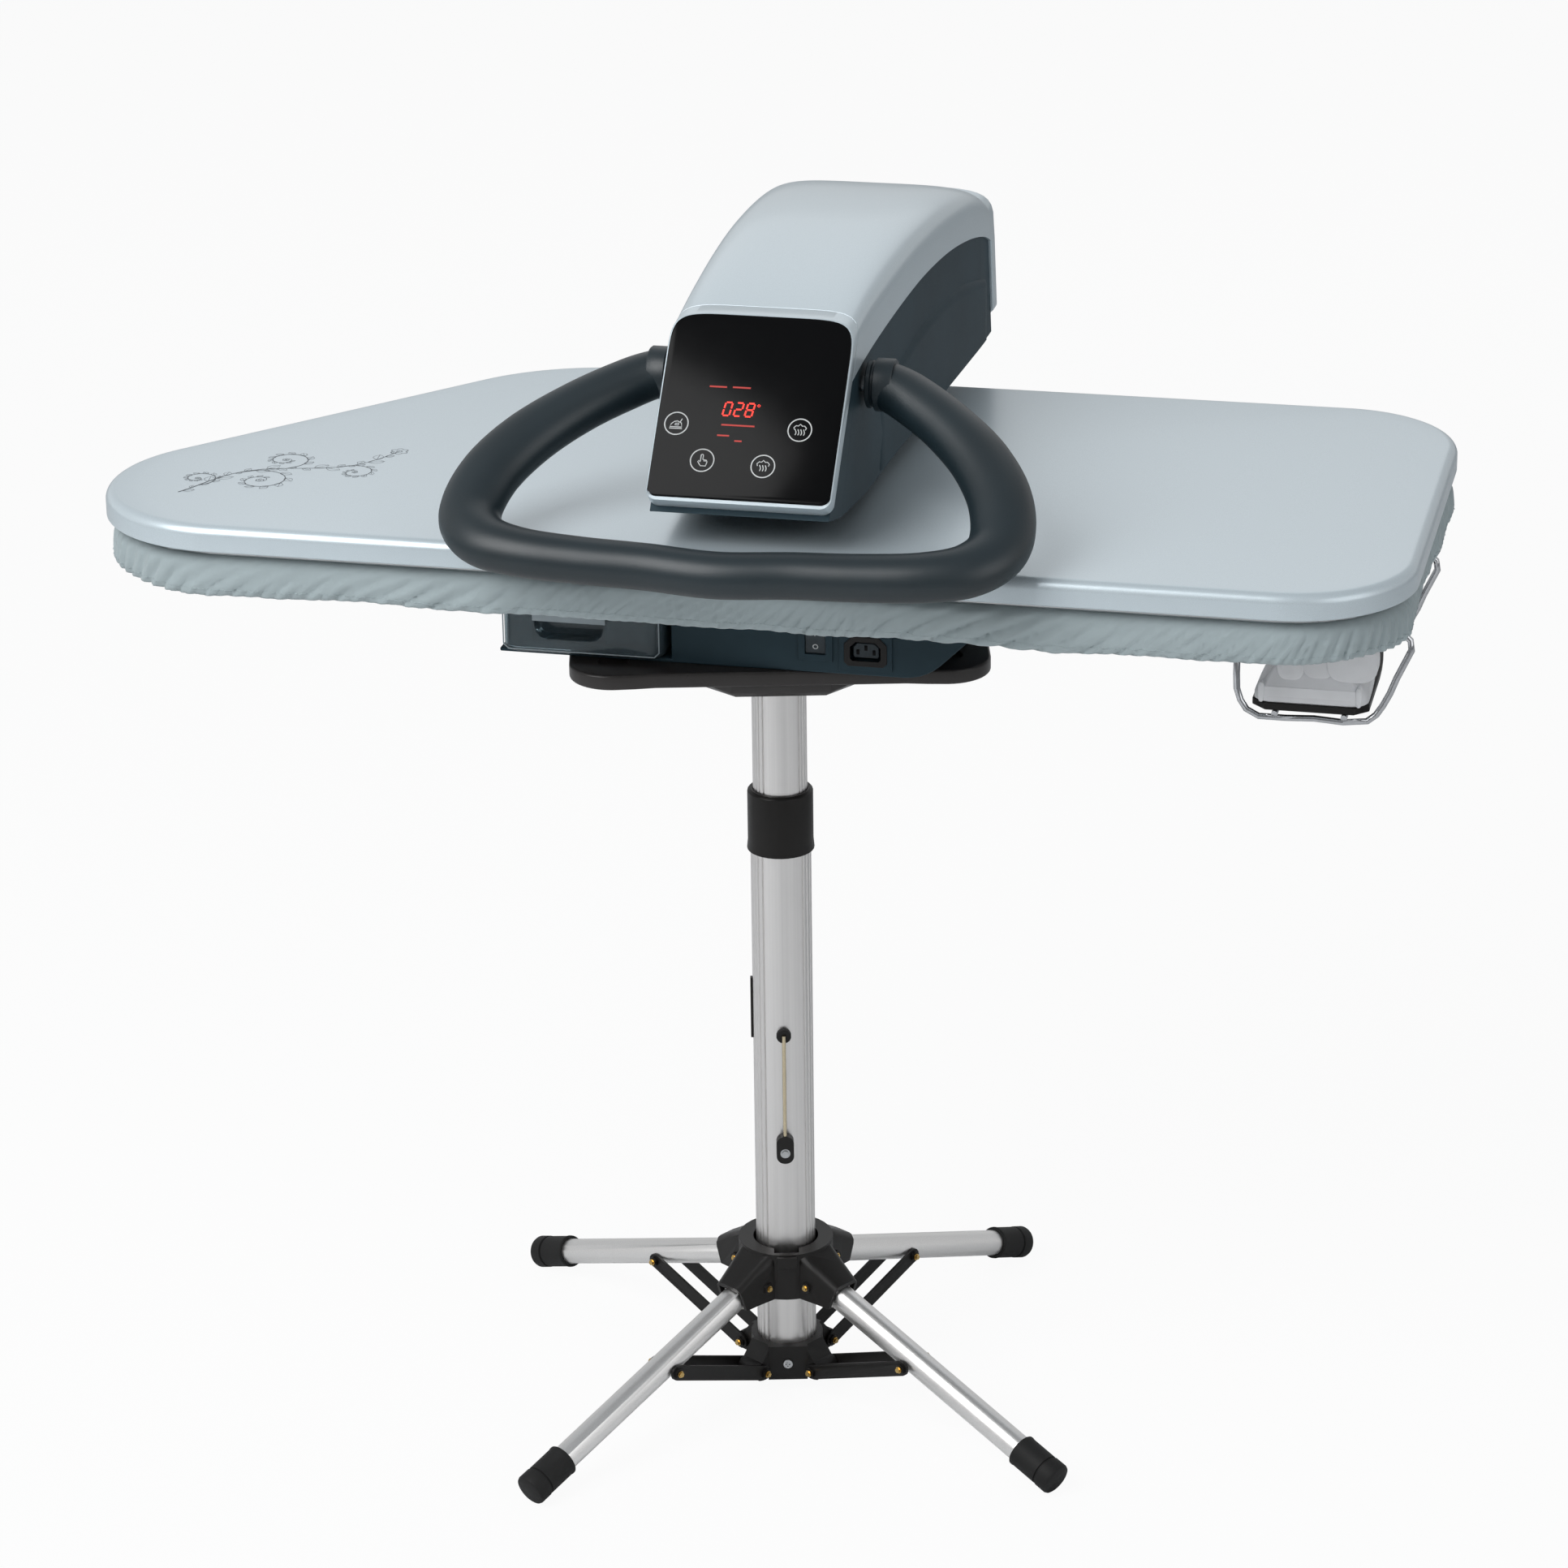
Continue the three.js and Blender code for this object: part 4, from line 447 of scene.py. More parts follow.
def arc_line(cx, cy, radius, start=0.0, end=2 * math.pi, steps=40):
    """Points along an arc; a whole circle ends in its own first point."""
    whole = abs(end - start - 2 * math.pi) < 1e-6
    line = [(cx + radius * math.cos(start + (end - start) * i / steps),
             cy + radius * math.sin(start + (end - start) * i / steps)) for i in range(steps)]
    line.append(line[0] if whole else (cx + radius * math.cos(end), cy + radius * math.sin(end)))
    return line


def on_curve(rows, way):
    """Values on a smooth curve through rows of values, at a way counted in rows."""
    last = len(rows) - 1
    low = min(int(way), last - 1)
    t = way - low
    near = [rows[max(0, min(last, low + k))] for k in (-1, 0, 1, 2)]
    return [0.5 * (2 * b + (c - a) * t + (2 * a - 5 * b + 4 * c - d) * t * t
                   + (3 * b - 3 * c + d - a) * t ** 3) for a, b, c, d in zip(*near)]


def joined_mesh(name, parts):
    """One mesh of all the parts, which are removed."""
    whole = bmesh.new()
    for part in parts:
        whole.from_mesh(part.data)
        bpy.data.objects.remove(part)
    mesh = bpy.data.meshes.new(name)
    whole.to_mesh(mesh)
    whole.free()
    return link_mesh(name, mesh, math.radians(40))


def place(piece, finish, body, slot=None, nodes=()):
    """Gives a piece its finish, its body and the nodes that it stands for; its slot is not used."""
    piece.data.materials.clear()
    piece.data.materials.append(finish_of(finish))
    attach(piece, body)
    if nodes:
        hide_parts(*nodes)
    return piece


def stands_for(piece, node, finish=None):
    slot = SLOT_OF[node]
    return place(piece, finish or SLOT_FINISH[slot], BODY_OF[node], slot, (node,))


def round_edges(piece, width, segments, least_angle):
    rounding = piece.modifiers.new("Rounded edges", "BEVEL")
    rounding.width = width
    rounding.segments = segments
    rounding.limit_method = "ANGLE"
    rounding.angle_limit = math.radians(least_angle)
    rounding.harden_normals = True


def bevelled(name, node, width, segments=2, finish=None, smooth=32):
    """A copy of a node's shape with welded faces and small rounded edges."""
    mesh = frame["nodes"][node].data.copy()
    mesh.name = name
    mesh.materials.clear()
    with edited(mesh) as shape:
        bmesh.ops.remove_doubles(shape, verts=shape.verts, dist=2e-6)
        bmesh.ops.dissolve_limit(
            shape, angle_limit=math.radians(1.2), verts=shape.verts, edges=shape.edges)
    piece = link_mesh(name, mesh, math.radians(smooth))
    if width > 0:
        round_edges(piece, width, segments, 34)
    return stands_for(piece, node, finish)


def settled(piece, name):
    """The evaluated shape of a piece as a plain mesh of its own."""
    graph = bpy.context.evaluated_depsgraph_get()
    mesh = bpy.data.meshes.new_from_object(piece.evaluated_get(graph))
    mesh.name = name
    old = piece.data
    bpy.data.objects.remove(piece)
    if old.users == 0:
        bpy.data.meshes.remove(old)
    return link_mesh(name, mesh, math.radians(35))


# Geometry node trees


def new_tree(name, inputs):
    """A node tree with a geometry in and out, and named inputs for its sizes."""
    tree = bpy.data.node_groups.new(name, "GeometryNodeTree")
    tree.interface.new_socket("Geometry", in_out="INPUT", socket_type="NodeSocketGeometry")
    for label, (kind, value) in inputs.items():
        socket = tree.interface.new_socket(label, in_out="INPUT", socket_type="NodeSocket" + kind)
        if value is not None:
            socket.default_value = value
    tree.interface.new_socket("Geometry", in_out="OUTPUT", socket_type="NodeSocketGeometry")
    return tree, tree.nodes.new("NodeGroupInput").outputs


def end_tree(tree, geometry, material):
    real = add_node(tree, "GeometryNodeRealizeInstances", geometry)
    painted = add_node(tree, "GeometryNodeSetMaterial", real.outputs["Geometry"], Material=material)
    add_node(tree, "NodeGroupOutput", painted.outputs["Geometry"])


def copies_along(tree, points, part, direction):
    """A part at every point, its Z turned along the direction there."""
    turn = add_node(tree, "FunctionNodeAlignRotationToVector", axis="Z", Vector=direction)
    copies = add_node(tree, "GeometryNodeInstanceOnPoints", points,
                      Instance=part, Rotation=turn.outputs["Rotation"])
    return copies.outputs["Instances"]


@functools.cache
def bolt_tree():
    """A washer and a six-sided head on every point, turned to the point's facing."""
    tree, start = new_tree("Bolts", {
        "Radius": ("Float", 0.003),
        "Height": ("Float", 0.002),
        "Material": ("Material", None),
    })
    washer = add_node(tree, "GeometryNodeMeshCylinder", Vertices=20,
                      Radius=scaled(tree, start["Radius"], 1.35),
                      Depth=scaled(tree, start["Height"], 0.35))
    head = add_node(tree, "GeometryNodeMeshCylinder", Vertices=6,
                    Radius=start["Radius"], Depth=start["Height"])
    lift = add_node(tree, "ShaderNodeCombineXYZ", Z=scaled(tree, start["Height"], 0.6))
    raised = add_node(tree, "GeometryNodeTransform", head.outputs["Mesh"],
                      Translation=lift.outputs["Vector"])
    bolt = add_node(tree, "GeometryNodeJoinGeometry")
    for part in (washer.outputs["Mesh"], raised.outputs["Geometry"]):
        tree.links.new(part, bolt.inputs[0])
    facing = add_node(tree, "GeometryNodeInputNamedAttribute", data_type="FLOAT_VECTOR",
                      Name="facing")
    spots = add_node(tree, "GeometryNodeMeshToPoints", start["Geometry"])
    copies = copies_along(tree, spots.outputs["Points"], bolt.outputs["Geometry"],
                          facing.outputs["Attribute"])
    end_tree(tree, copies, start["Material"])
    return tree


@functools.cache
def stitch_tree():
    """Short threads laid end to end along the edges of a line."""
    tree, start = new_tree("Stitches", {
        "Pitch": ("Float", 0.0034),
        "Stitch": ("Float", 0.0024),
        "Thread": ("Float", 0.00028),
        "Material": ("Material", None),
    })
    line = add_node(tree, "GeometryNodeMeshToCurve", start["Geometry"])
    spots = add_node(tree, "GeometryNodeCurveToPoints", line.outputs["Curve"], mode="LENGTH",
                     Length=start["Pitch"])
    thread = add_node(tree, "GeometryNodeMeshCylinder", Vertices=6,
                      Radius=start["Thread"], Depth=start["Stitch"])
    copies = copies_along(tree, spots.outputs["Points"], thread.outputs["Mesh"],
                          spots.outputs["Tangent"])
    end_tree(tree, copies, start["Material"])
    return tree


@functools.cache
def stroke_tree():
    """Flat printed strokes along the edges of a line, as wide as its width attribute."""
    tree, start = new_tree("Strokes", {
        "Flatten": ("Vector", (1, 1, 0.2)),
        "Material": ("Material", None),
    })
    line = add_node(tree, "GeometryNodeMeshToCurve", start["Geometry"])
    width = add_node(tree, "GeometryNodeInputNamedAttribute", data_type="FLOAT", Name="width")
    sized = add_node(tree, "GeometryNodeSetCurveRadius", line.outputs["Curve"],
                     Radius=width.outputs["Attribute"])
    profile = add_node(tree, "GeometryNodeCurvePrimitiveCircle", Resolution=8, Radius=1.0)
    swept = add_node(tree, "GeometryNodeCurveToMesh", sized.outputs["Curve"],
                     profile.outputs["Curve"], Fill_Caps=True, Scale=width.outputs["Attribute"])
    flat = add_node(tree, "GeometryNodeTransform", swept.outputs["Mesh"], Scale=start["Flatten"])
    end_tree(tree, flat.outputs["Geometry"], start["Material"])
    return tree


def run_tree(name, mesh, tree, **values):
    """Runs a tree on a mesh and returns the result as a plain piece."""
    base = bpy.data.objects.new(name + "_base", mesh)
    bpy.context.scene.collection.objects.link(base)
    modifier = base.modifiers.new("Tree", "NODES")
    modifier.node_group = tree
    for item in tree.interface.items_tree:
        if item.in_out == "INPUT" and item.name in values:
            modifier[item.identifier] = values[item.name]
    bpy.context.view_layer.update()
    return settled(base, name)


def points_mesh(name, points, edges=(), **attributes):
    mesh = bpy.data.meshes.new(name)
    mesh.from_pydata([tuple(point) for point in points], list(edges), [])
    for label, values in attributes.items():
        vector = hasattr(values[0], "__len__")
        layer = mesh.attributes.new(label, "FLOAT_VECTOR" if vector else "FLOAT", "POINT")
        flat = [part for value in values for part in value] if vector else list(values)
        layer.data.foreach_set("vector" if vector else "value", flat)
    return mesh


def bolts(name, spots, node, slot, finish, radius, height):
    """Bolt heads at spots of (point, facing)."""
    mesh = points_mesh(name, [spot for spot, _ in spots], facing=[facing for _, facing in spots])
    piece = run_tree(name, mesh, bolt_tree(), Radius=radius, Height=height,
                     Material=finish_of(finish))
    return place(piece, finish, BODY_OF[node], slot)


def both_sides(middle, across, reach):
    """Spots at a reach to each side of a middle, facing outward."""
    return [(middle + across * side * reach, across * side) for side in (1, -1)]


# Plan of the board


def board_arcs():
    """The arcs of the board's outline: centre, radius, start and end."""
    sizes = shared("board")
    half_length = sizes.length / 2
    half_depth = sizes.depth / 2
    normal = math.pi / 2 + sizes.taper
    nose_x = sizes.nose - half_length
    nose_y = sizes.nose - half_depth
    reach = nose_x * math.cos(normal) + nose_y * math.sin(normal)
    left = reach + sizes.nose - sizes.shoulder
    shoulder_y = half_depth - sizes.shoulder
    shoulder_x = (left - shoulder_y * math.sin(normal)) / math.cos(normal)
    corner_x = half_length - sizes.corner
    corner_y = half_depth - sizes.corner
    return (
        (corner_x, -corner_y, sizes.corner, -math.pi / 2, 0),
        (corner_x, corner_y, sizes.corner, 0, math.pi / 2),
        (shoulder_x, shoulder_y, sizes.shoulder, math.pi / 2, normal),
        (nose_x, nose_y, sizes.nose, normal, 3 * math.pi / 2),
    )


def on_arc(arc, angle, inset=0.0, z=0.0):
    cx, cy, radius, _, _ = arc
    radius -= inset
    return BOARD_MIDDLE + Vector((cx + radius * math.cos(angle), cy + radius * math.sin(angle), z))


def board_ring(inset, z, step):
    """Points round the board at an inset from its edge, a step apart at the edge itself."""
    arcs = board_arcs()
    ring = []
    for arc, after in zip(arcs, (*arcs[1:], arcs[0])):
        _, _, radius, start, end = arc
        parts = max(6, round((end - start) * radius / step))
        ring.extend(on_arc(arc, start + (end - start) * i / parts, inset, z)
                    for i in range(parts + 1))
        straight = (on_arc(after, after[3]) - on_arc(arc, end)).length
        runs = max(2, round(straight / step))
        first = ring[-1]
        last = on_arc(after, after[3], inset, z)
        ring.extend(first.lerp(last, i / runs) for i in range(1, runs))
    return ring


def rounded_over(inset, high, width, drop, steps, step):
    """Rings of an edge that bends over from upright to level."""
    angles = [math.pi / 2 * i / steps for i in range(steps + 1)]
    return [board_ring(inset + width * (1 - math.cos(angle)), high - drop * (1 - math.sin(angle)),
                       step) for angle in angles]


def toward_middle(ring, share, z):
    middle = BOARD_MIDDLE + Vector((0, 0, z))
    return [Vector((p.x, p.y, z)).lerp(middle, 1 - share) for p in ring]


def outward_at(ring, i):
    """The way outward at a point of a ring."""
    way = (ring[(i + 1) % len(ring)] - ring[i - 1]).normalized()
    return Vector((way.y, -way.x, 0))


def dome_at(reach):
    """Rise of the shell's top at a reach from its middle to its edge."""
    return shared("board").dome * (1 - reach ** 2.6)


class PRESS_OT_shoe(bpy.types.Operator):
    """Makes the pressed shell of the heated shoe and finishes its steam plate"""

    bl_idname = "press.shoe"
    bl_label = "Shoe"

    def execute(self, context):
        low = SHELL_LOW.z
        high = SHELL_HIGH.z
        step = 0.006
        wall = 0.0022
        lip = 0.0007
        edge = 0.0085
        drop = 0.0078
        inner = board_ring(wall + 0.006, high - wall, step)
        rings = [toward_middle(inner, share, high - wall) for share in (0.15, 0.5, 1.0)]
        for inset, z in ((wall + 0.001, high - wall - 0.004), (wall, low + lip),
                         (wall - lip, low), (lip, low), (0, low + lip)):
            rings.append(board_ring(inset, z, step))
        rings.extend(rounded_over(0.0, high, edge, drop, 9, step))
        top = rings[-1]
        for share in (0.97, 0.92, 0.85, 0.75, 0.62, 0.48, 0.34, 0.2, 0.08):
            rings.append(toward_middle(top, share, high + dome_at(share)))
        stands_for(loft("shoe_shell", rings), "shoe_cover")
        bevelled("steam_plate", "heating_plate", 0.0004, 1)
        return {"FINISHED"}


# The deepest that a valley of the cloth goes before it meets the pad, as a share of a fold.
PAD_ROOM = -0.15


def fold_height(turns, tall, ends, spot):
    """Height of the folds after so many pitches along the cloth's edge, at a share of its rise.

    They run aslant between the hem and the top, and stand upright and closer at the ends.
    """
    lean = 2.1 * (1 - ends) + 0.15
    drift = 0.55 * noise.noise(Vector((spot.x * 9, spot.y * 9, tall * 0.9)))
    phase = turns - lean * tall + drift
    ridge = abs(math.cos(math.pi * phase)) ** 0.75
    cross = 2.37 * turns - 1.6 * lean * tall + 2.1 * drift
    small = abs(math.cos(math.pi * cross)) ** 0.8
    patch = noise.noise(Vector((spot.x * 6.1, spot.y * 6.1, 4.2)))
    crumple = noise.noise(Vector((spot.x * 38, spot.y * 38, tall * 1.6)))
    strength = max(0.10, min(1.0, 0.55 + 1.3 * patch)) * (0.85 + 0.35 * ends)
    height = ridge * strength + 0.45 * small * (1.05 - strength) + 0.22 * crumple - 0.34
    return shared("board").fold * max(PAD_ROOM, height)


class PRESS_OT_cloth(bpy.types.Operator):
    """Makes the fitted cotton cover with its folds, gathers and stitched hem"""

    bl_idname = "press.cloth"
    bl_label = "Board cover"

    # Inset and rise over the hem of the section, how much of a fold each level takes and how
    # much the hem sags there. The last two levels are measured down from the top.
    SECTION = (
        (0.034, 0.0021, 0.25, 0.2),
        (0.027, 0.0019, 0.5, 0.4),
        (0.020, 0.0012, 0.7, 0.6),
        (0.0145, 0.0004, 0.8, 0.9),
        (0.0118, 0.0003, 0.9, 1.0),
        (0.0096, 0.0014, 1.0, 1.0),
        (0.0084, 0.0035, 1.0, 0.9),
        (0.0079, 0.0065, 1.0, 0.7),
        (0.0077, 0.0100, 0.97, 0.5),
        (0.0076, 0.0135, 0.92, 0.3),
        (0.0076, 0.0170, 0.85, 0.15),
        (0.0077, 0.0205, 0.74, 0.0),
        (0.0079, 0.0235, 0.60, 0.0),
        (0.0084, 0.0262, 0.42, 0.0),
        (0.0096, 0.0287, 0.24, 0.0),
        (0.0116, 0.0306, 0.10, 0.0),
        (0.0142, -0.0003, 0.03, 0.0),
        (0.0180, 0.0, 0.0, 0.0),
    )
    STITCHED = 7

    def execute(self, context):
        _, cover_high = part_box("board_cover")
        panel_low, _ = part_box("board_panel")
        self.top = cover_high.z
        self.bottom = panel_low.z - 0.0016
        levels = [(inset, (self.top if level >= len(self.SECTION) - 2 else self.bottom) + rise,
                   share, sag) for level, (inset, rise, share, sag) in enumerate(self.SECTION)]
        step = 0.0024
        base = board_ring(0.0, 0.0, step)
        count = len(base)
        runs = [(after - before).length for before, after in zip(base, [*base[1:], base[0]])]
        points = self.skirt(levels, base, runs, step)
        middle = BOARD_MIDDLE + Vector((0, 0, self.top))
        last_ring = points[-count:]
        for share in (0.93, 0.8, 0.6, 0.35, 0.1):
            points.extend(p.lerp(middle, 1 - share) for p in last_ring)
        rings = len(points) // count
        faces = loft_faces(rings, count, capped=False)
        faces.append(tuple((rings - 1) * count + j for j in range(count)))
        piece = mesh_from("cloth_cover", points, faces, smooth_angle=math.radians(80), weld=False)
        self.unfold(piece.data, levels, runs)
        with edited(piece.data) as shape:
            face_outward(shape)
            if sum(face.normal.z * face.calc_area() for face in shape.faces) < 0:
                bmesh.ops.reverse_faces(shape, faces=shape.faces)
        wall = piece.modifiers.new("Cloth wall", "SOLIDIFY")
        wall.thickness = 0.0006
        wall.offset = -1
        stands_for(piece, "board_cover")
        self.hem(points[self.STITCHED * count:(self.STITCHED + 1) * count])
        return {"FINISHED"}

    def skirt(self, levels, base, runs, step):
        """Points of the folded part, level by level."""
        sizes = shared("board")
        gathered = 0.12
        ends = [max(0.0, 1 - (sizes.length / 2 - abs(p.x - BOARD_MIDDLE.x)) / gathered)
                for p in base]
        turns = [0.0, *itertools.accumulate(
            run / sizes.fold_pitch * (1 + 1.6 * end) for run, end in zip(runs, ends))]
        whole = round(turns[-1]) / turns[-1]
        underside = 0.0105
        sagging = 0.0026
        points = []
        for inset, z, share, wave in levels:
            tall = (z - self.bottom) / (self.top - self.bottom)
            ring = board_ring(inset, z, step)
            for i, point in enumerate(ring):
                fold = fold_height(turns[i] * whole, tall, ends[i], point) * share
                sag = sagging * wave * noise.noise(Vector((point.x * 14, point.y * 14, 1.0)))
                lean = outward_at(ring, i) * fold if inset < underside \
                    else Vector((0, 0, -0.25 * fold))
                points.append(point + lean + Vector((0, 0, sag)))
        return points

    def unfold(self, mesh, levels, runs):
        """Lays the skirt flat on the map: along the edge and up the section."""
        count = len(runs)
        along = [0.0, *itertools.accumulate(runs)]
        up = [0.0, *itertools.accumulate(
            math.hypot(after[0] - before[0], after[1] - before[1])
            for before, after in zip(levels, levels[1:]))]
        uv = mesh.uv_layers.new(name="UVMap")
        for polygon in mesh.polygons:
            seam = max(vertex % count for vertex in polygon.vertices) == count - 1
            for corner, vertex in zip(polygon.loop_indices, polygon.vertices):
                level, i = divmod(vertex, count)
                if level < len(levels):
                    uv.data[corner].uv = (along[count if seam and i == 0 else i], up[level])
                else:
                    uv.data[corner].uv = mesh.vertices[vertex].co.xy

    def hem(self, row):
        """A row of stitches on the cloth just above its hem."""
        count = len(row)
        proud = 0.00012
        pushed = [point + outward_at(row, i) * proud for i, point in enumerate(row)]
        mesh = points_mesh("hem_line", pushed, [(i, (i + 1) % count) for i in range(count)])
        piece = run_tree("hem_stitches", mesh, stitch_tree(), Material=finish_of("cotton"))
        place(piece, "cotton", BODY_OF["board_cover"], "cloth")


class PRESS_OT_pad(bpy.types.Operator):
    """Makes the felt pad and finishes the board's panel"""

    bl_idname = "press.pad"
    bl_label = "Board pad"

    def execute(self, context):
        low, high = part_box("board_pad")
        inset = low.x - SHELL_LOW.x
        step = 0.012
        rounding = 0.006
        rings = [toward_middle(board_ring(inset + rounding, low.z, step), 0.2, low.z),
                 board_ring(inset + 0.001, low.z, step), board_ring(inset, low.z + 0.001, step),
                 *rounded_over(inset, high.z, rounding, rounding, 6, step)]
        rings.append(toward_middle(rings[-1], 0.2, high.z))
        piece = stands_for(loft("felt_pad", rings), "board_pad")
        bevelled("deck_panel", "board_panel", 0.0006, 1)
        return {"FINISHED"}


# Head: stations along the arm as Y, half width, crown, lean and roundness.
ARM_STATIONS = (
    (-0.121, 0.0700, 0.931, 1.00, 7.0),
    (-0.084, 0.0710, 0.938, 0.75, 6.4),
    (-0.040, 0.0730, 0.944, 0.40, 5.6),
    (0.020, 0.0760, 0.949, 0.00, 5.0),
    (0.090, 0.0790, 0.951, 0.00, 4.6),
    (0.170, 0.0820, 0.947, 0.00, 4.6),
    (0.240, 0.0850, 0.938, 0.00, 4.8),
    (0.290, 0.0870, 0.926, -0.12, 5.0),
    (0.318, 0.0875, 0.914, -0.22, 5.4),
)
LAST_STATION = len(ARM_STATIONS) - 1
PANEL_FOOT = (-0.209, 0.825)
PANEL_RUN = 0.079
PANEL_RISE = 0.093
SLOPE = math.hypot(PANEL_RUN, PANEL_RISE)
SLOPE_COS = PANEL_RUN / SLOPE
SLOPE_SIN = PANEL_RISE / SLOPE
# Heights over the panel's plane of the cover's front edge and of the gloss face, and the lowest
# line of the head's face up the panel's slope.
COVER_FRONT = -0.0091
PANEL_FACE = 0.0040
FACE_FOOT = -0.0120


def arch_point(way, turn, trim):
    """A point of the cover at a way along the arm and a turn from its right foot to its left."""
    y, half, crown, lean, roundness = on_curve(ARM_STATIONS, way)
    drop = shared("head").cover_drop
    c = math.cos(turn)
    s = math.sin(turn)
    side = math.copysign(abs(c) ** (2 / roundness), c) if abs(c) > 1e-9 else 0.0
    rise = s ** (2 / roundness) if s > 1e-9 else 0.0
    z = crown - drop + (drop - trim) * rise
    return Vector((HEAD_X + (half - trim) * side,
                   BOARD_MIDDLE.y + y + lean * PANEL_RUN / PANEL_RISE * (z - crown), z))


def on_panel(point):
    """How far a point is up the control panel's slope, and above its plane."""
    y = point.y - BOARD_MIDDLE.y - PANEL_FOOT[0]
    z = point.z - PANEL_FOOT[1]
    return y * SLOPE_COS + z * SLOPE_SIN, -y * SLOPE_SIN + z * SLOPE_COS


def panel_point(x, up, above):
    """A point of the control panel: across from its middle, up its slope, above its plane."""
    return Vector((HEAD_X + x,
                   BOARD_MIDDLE.y + PANEL_FOOT[0] + up * SLOPE_COS - above * SLOPE_SIN,
                   PANEL_FOOT[1] + up * SLOPE_SIN + above * SLOPE_COS))


def cut_way(turn, trim, above):
    """The way along the arm at which a line of the cover meets a plane over the panel."""
    low, high = 0.0, 2.0
    for _ in range(30):
        middle = (low + high) / 2
        if on_panel(arch_point(middle, turn, trim))[1] > above:
            low = middle
        else:
            high = middle
    return high


def face_ring(inset, above, raised):
    """Outline of the head's face at an inset, a height over the panel and a raised foot.

    It runs up the right side, over the arch that the cover ends in and down the left side.
    """
    corner = 0.0085 - min(inset, 0.004)
    half = ARM_STATIONS[0][1] - inset
    foot = FACE_FOOT + raised + corner
    right = arc_line(half - corner, foot, corner, -math.pi / 2, 0, 8)
    arch = []
    lines = 56
    for j in range(lines + 1):
        turn = math.pi * j / lines
        point = arch_point(cut_way(turn, inset, min(above, 0.0)), turn, inset)
        arch.append((point.x - HEAD_X, on_panel(point)[0]))
    left = [(-x, up) for x, up in reversed(right)]
    return [panel_point(x, up, above) for x, up in (*right, *arch, *left)]


class PRESS_OT_head(bpy.types.Operator):
    """Makes the arched cover, the arm's sides with their raised seam and the rear cap"""

    bl_idname = "press.head"
    bl_label = "Head"

    def execute(self, context):
        self.cover()
        self.sides()
        bevelled("arm_rear_cap", "rear_cap", 0.0016, 3)
        bevelled("arm_shell", "arm_body", 0.0006, 2)
        bevelled("arm_channel", "arm_frame", 0.0006, 1)
        bevelled("rear_bracket", "hinge_bracket", 0.0012, 2)
        bevelled("tilt_shaft", "hinge_shaft", 0.0004, 1)
        return {"FINISHED"}

    def cover(self):
        wall = shared("head").cover_wall
        lines = 72
        ways = 64
        edge = 0.0007
        turns = [math.pi * j / lines for j in range(lines + 1)]
        starts = [(turn, cut_way(turn, 0.0, COVER_FRONT)) for turn in turns]
        rings = []
        for i in range(ways + 1):
            rings.append([
                arch_point(start + (LAST_STATION - start) * i / ways, turn, trim)
                for trim, order in ((0.0, starts), (wall, reversed(starts)))
                for turn, start in order])
        piece = loft("arm_canopy", rings, math.radians(40))
        round_edges(piece, edge, 2, 60)
        stands_for(piece, "arm_cover")

    def sides(self):
        """The raised lower part of each side, under an arched seam."""
        proud = 0.0027
        sunk = 0.0012
        inset = 0.00272
        start_y, end_y = -0.055, 0.312
        columns = 60
        rows = 14
        foot = 0.7935
        for side, label in ((1, "right"), (-1, "left")):
            back = Vector((side * (proud + sunk) * 0.8, 0, 0))
            rings = []
            for i in range(columns + 1):
                share = i / columns
                y = start_y + (end_y - start_y) * share
                way = 0.0
                while way < LAST_STATION - 0.001 and on_curve(ARM_STATIONS, way)[0] < y:
                    way += 0.01
                half = on_curve(ARM_STATIONS, way)[1]
                # The seam climbs from the handle's pivot, crests over the board and falls behind.
                seam = 0.826 + 0.044 * math.sin(math.pi * min(1.0, 0.14 + 0.76 * share)) ** 0.8
                ring = []
                for j in range(rows + 1):
                    t = j / rows
                    edge = min(1.0, (1 - t) / 0.05, share / 0.03 + 0.05, (1 - share) / 0.02 + 0.05)
                    bulge = proud * math.sin(math.pi / 2 * edge)
                    ring.append(Vector((HEAD_X + side * (half - inset + bulge),
                                        BOARD_MIDDLE.y + y, foot + (seam - foot) * t)))
                rings.append([*ring, *[point - back for point in reversed(ring)]])
            piece = loft("arm_side_" + label, rings, math.radians(50))
            place(piece, "slate_plastic", BODY_OF["arm_body"], "slate")


# Segments of a digit as pairs of corners: column 0 or 1, row 0 to 2.
SEGMENTS = {
    "top": ((0, 2), (1, 2)),
    "upper_right": ((1, 2), (1, 1)),
    "lower_right": ((1, 1), (1, 0)),
    "bottom": ((0, 0), (1, 0)),
    "lower_left": ((0, 0), (0, 1)),
    "upper_left": ((0, 1), (0, 2)),
    "middle": ((0, 1), (1, 1)),
}
DIGITS = (
    ("top", "upper_right", "lower_right", "bottom", "lower_left", "upper_left"),
    ("top", "upper_right", "middle", "lower_left", "bottom"),
    tuple(SEGMENTS),
)


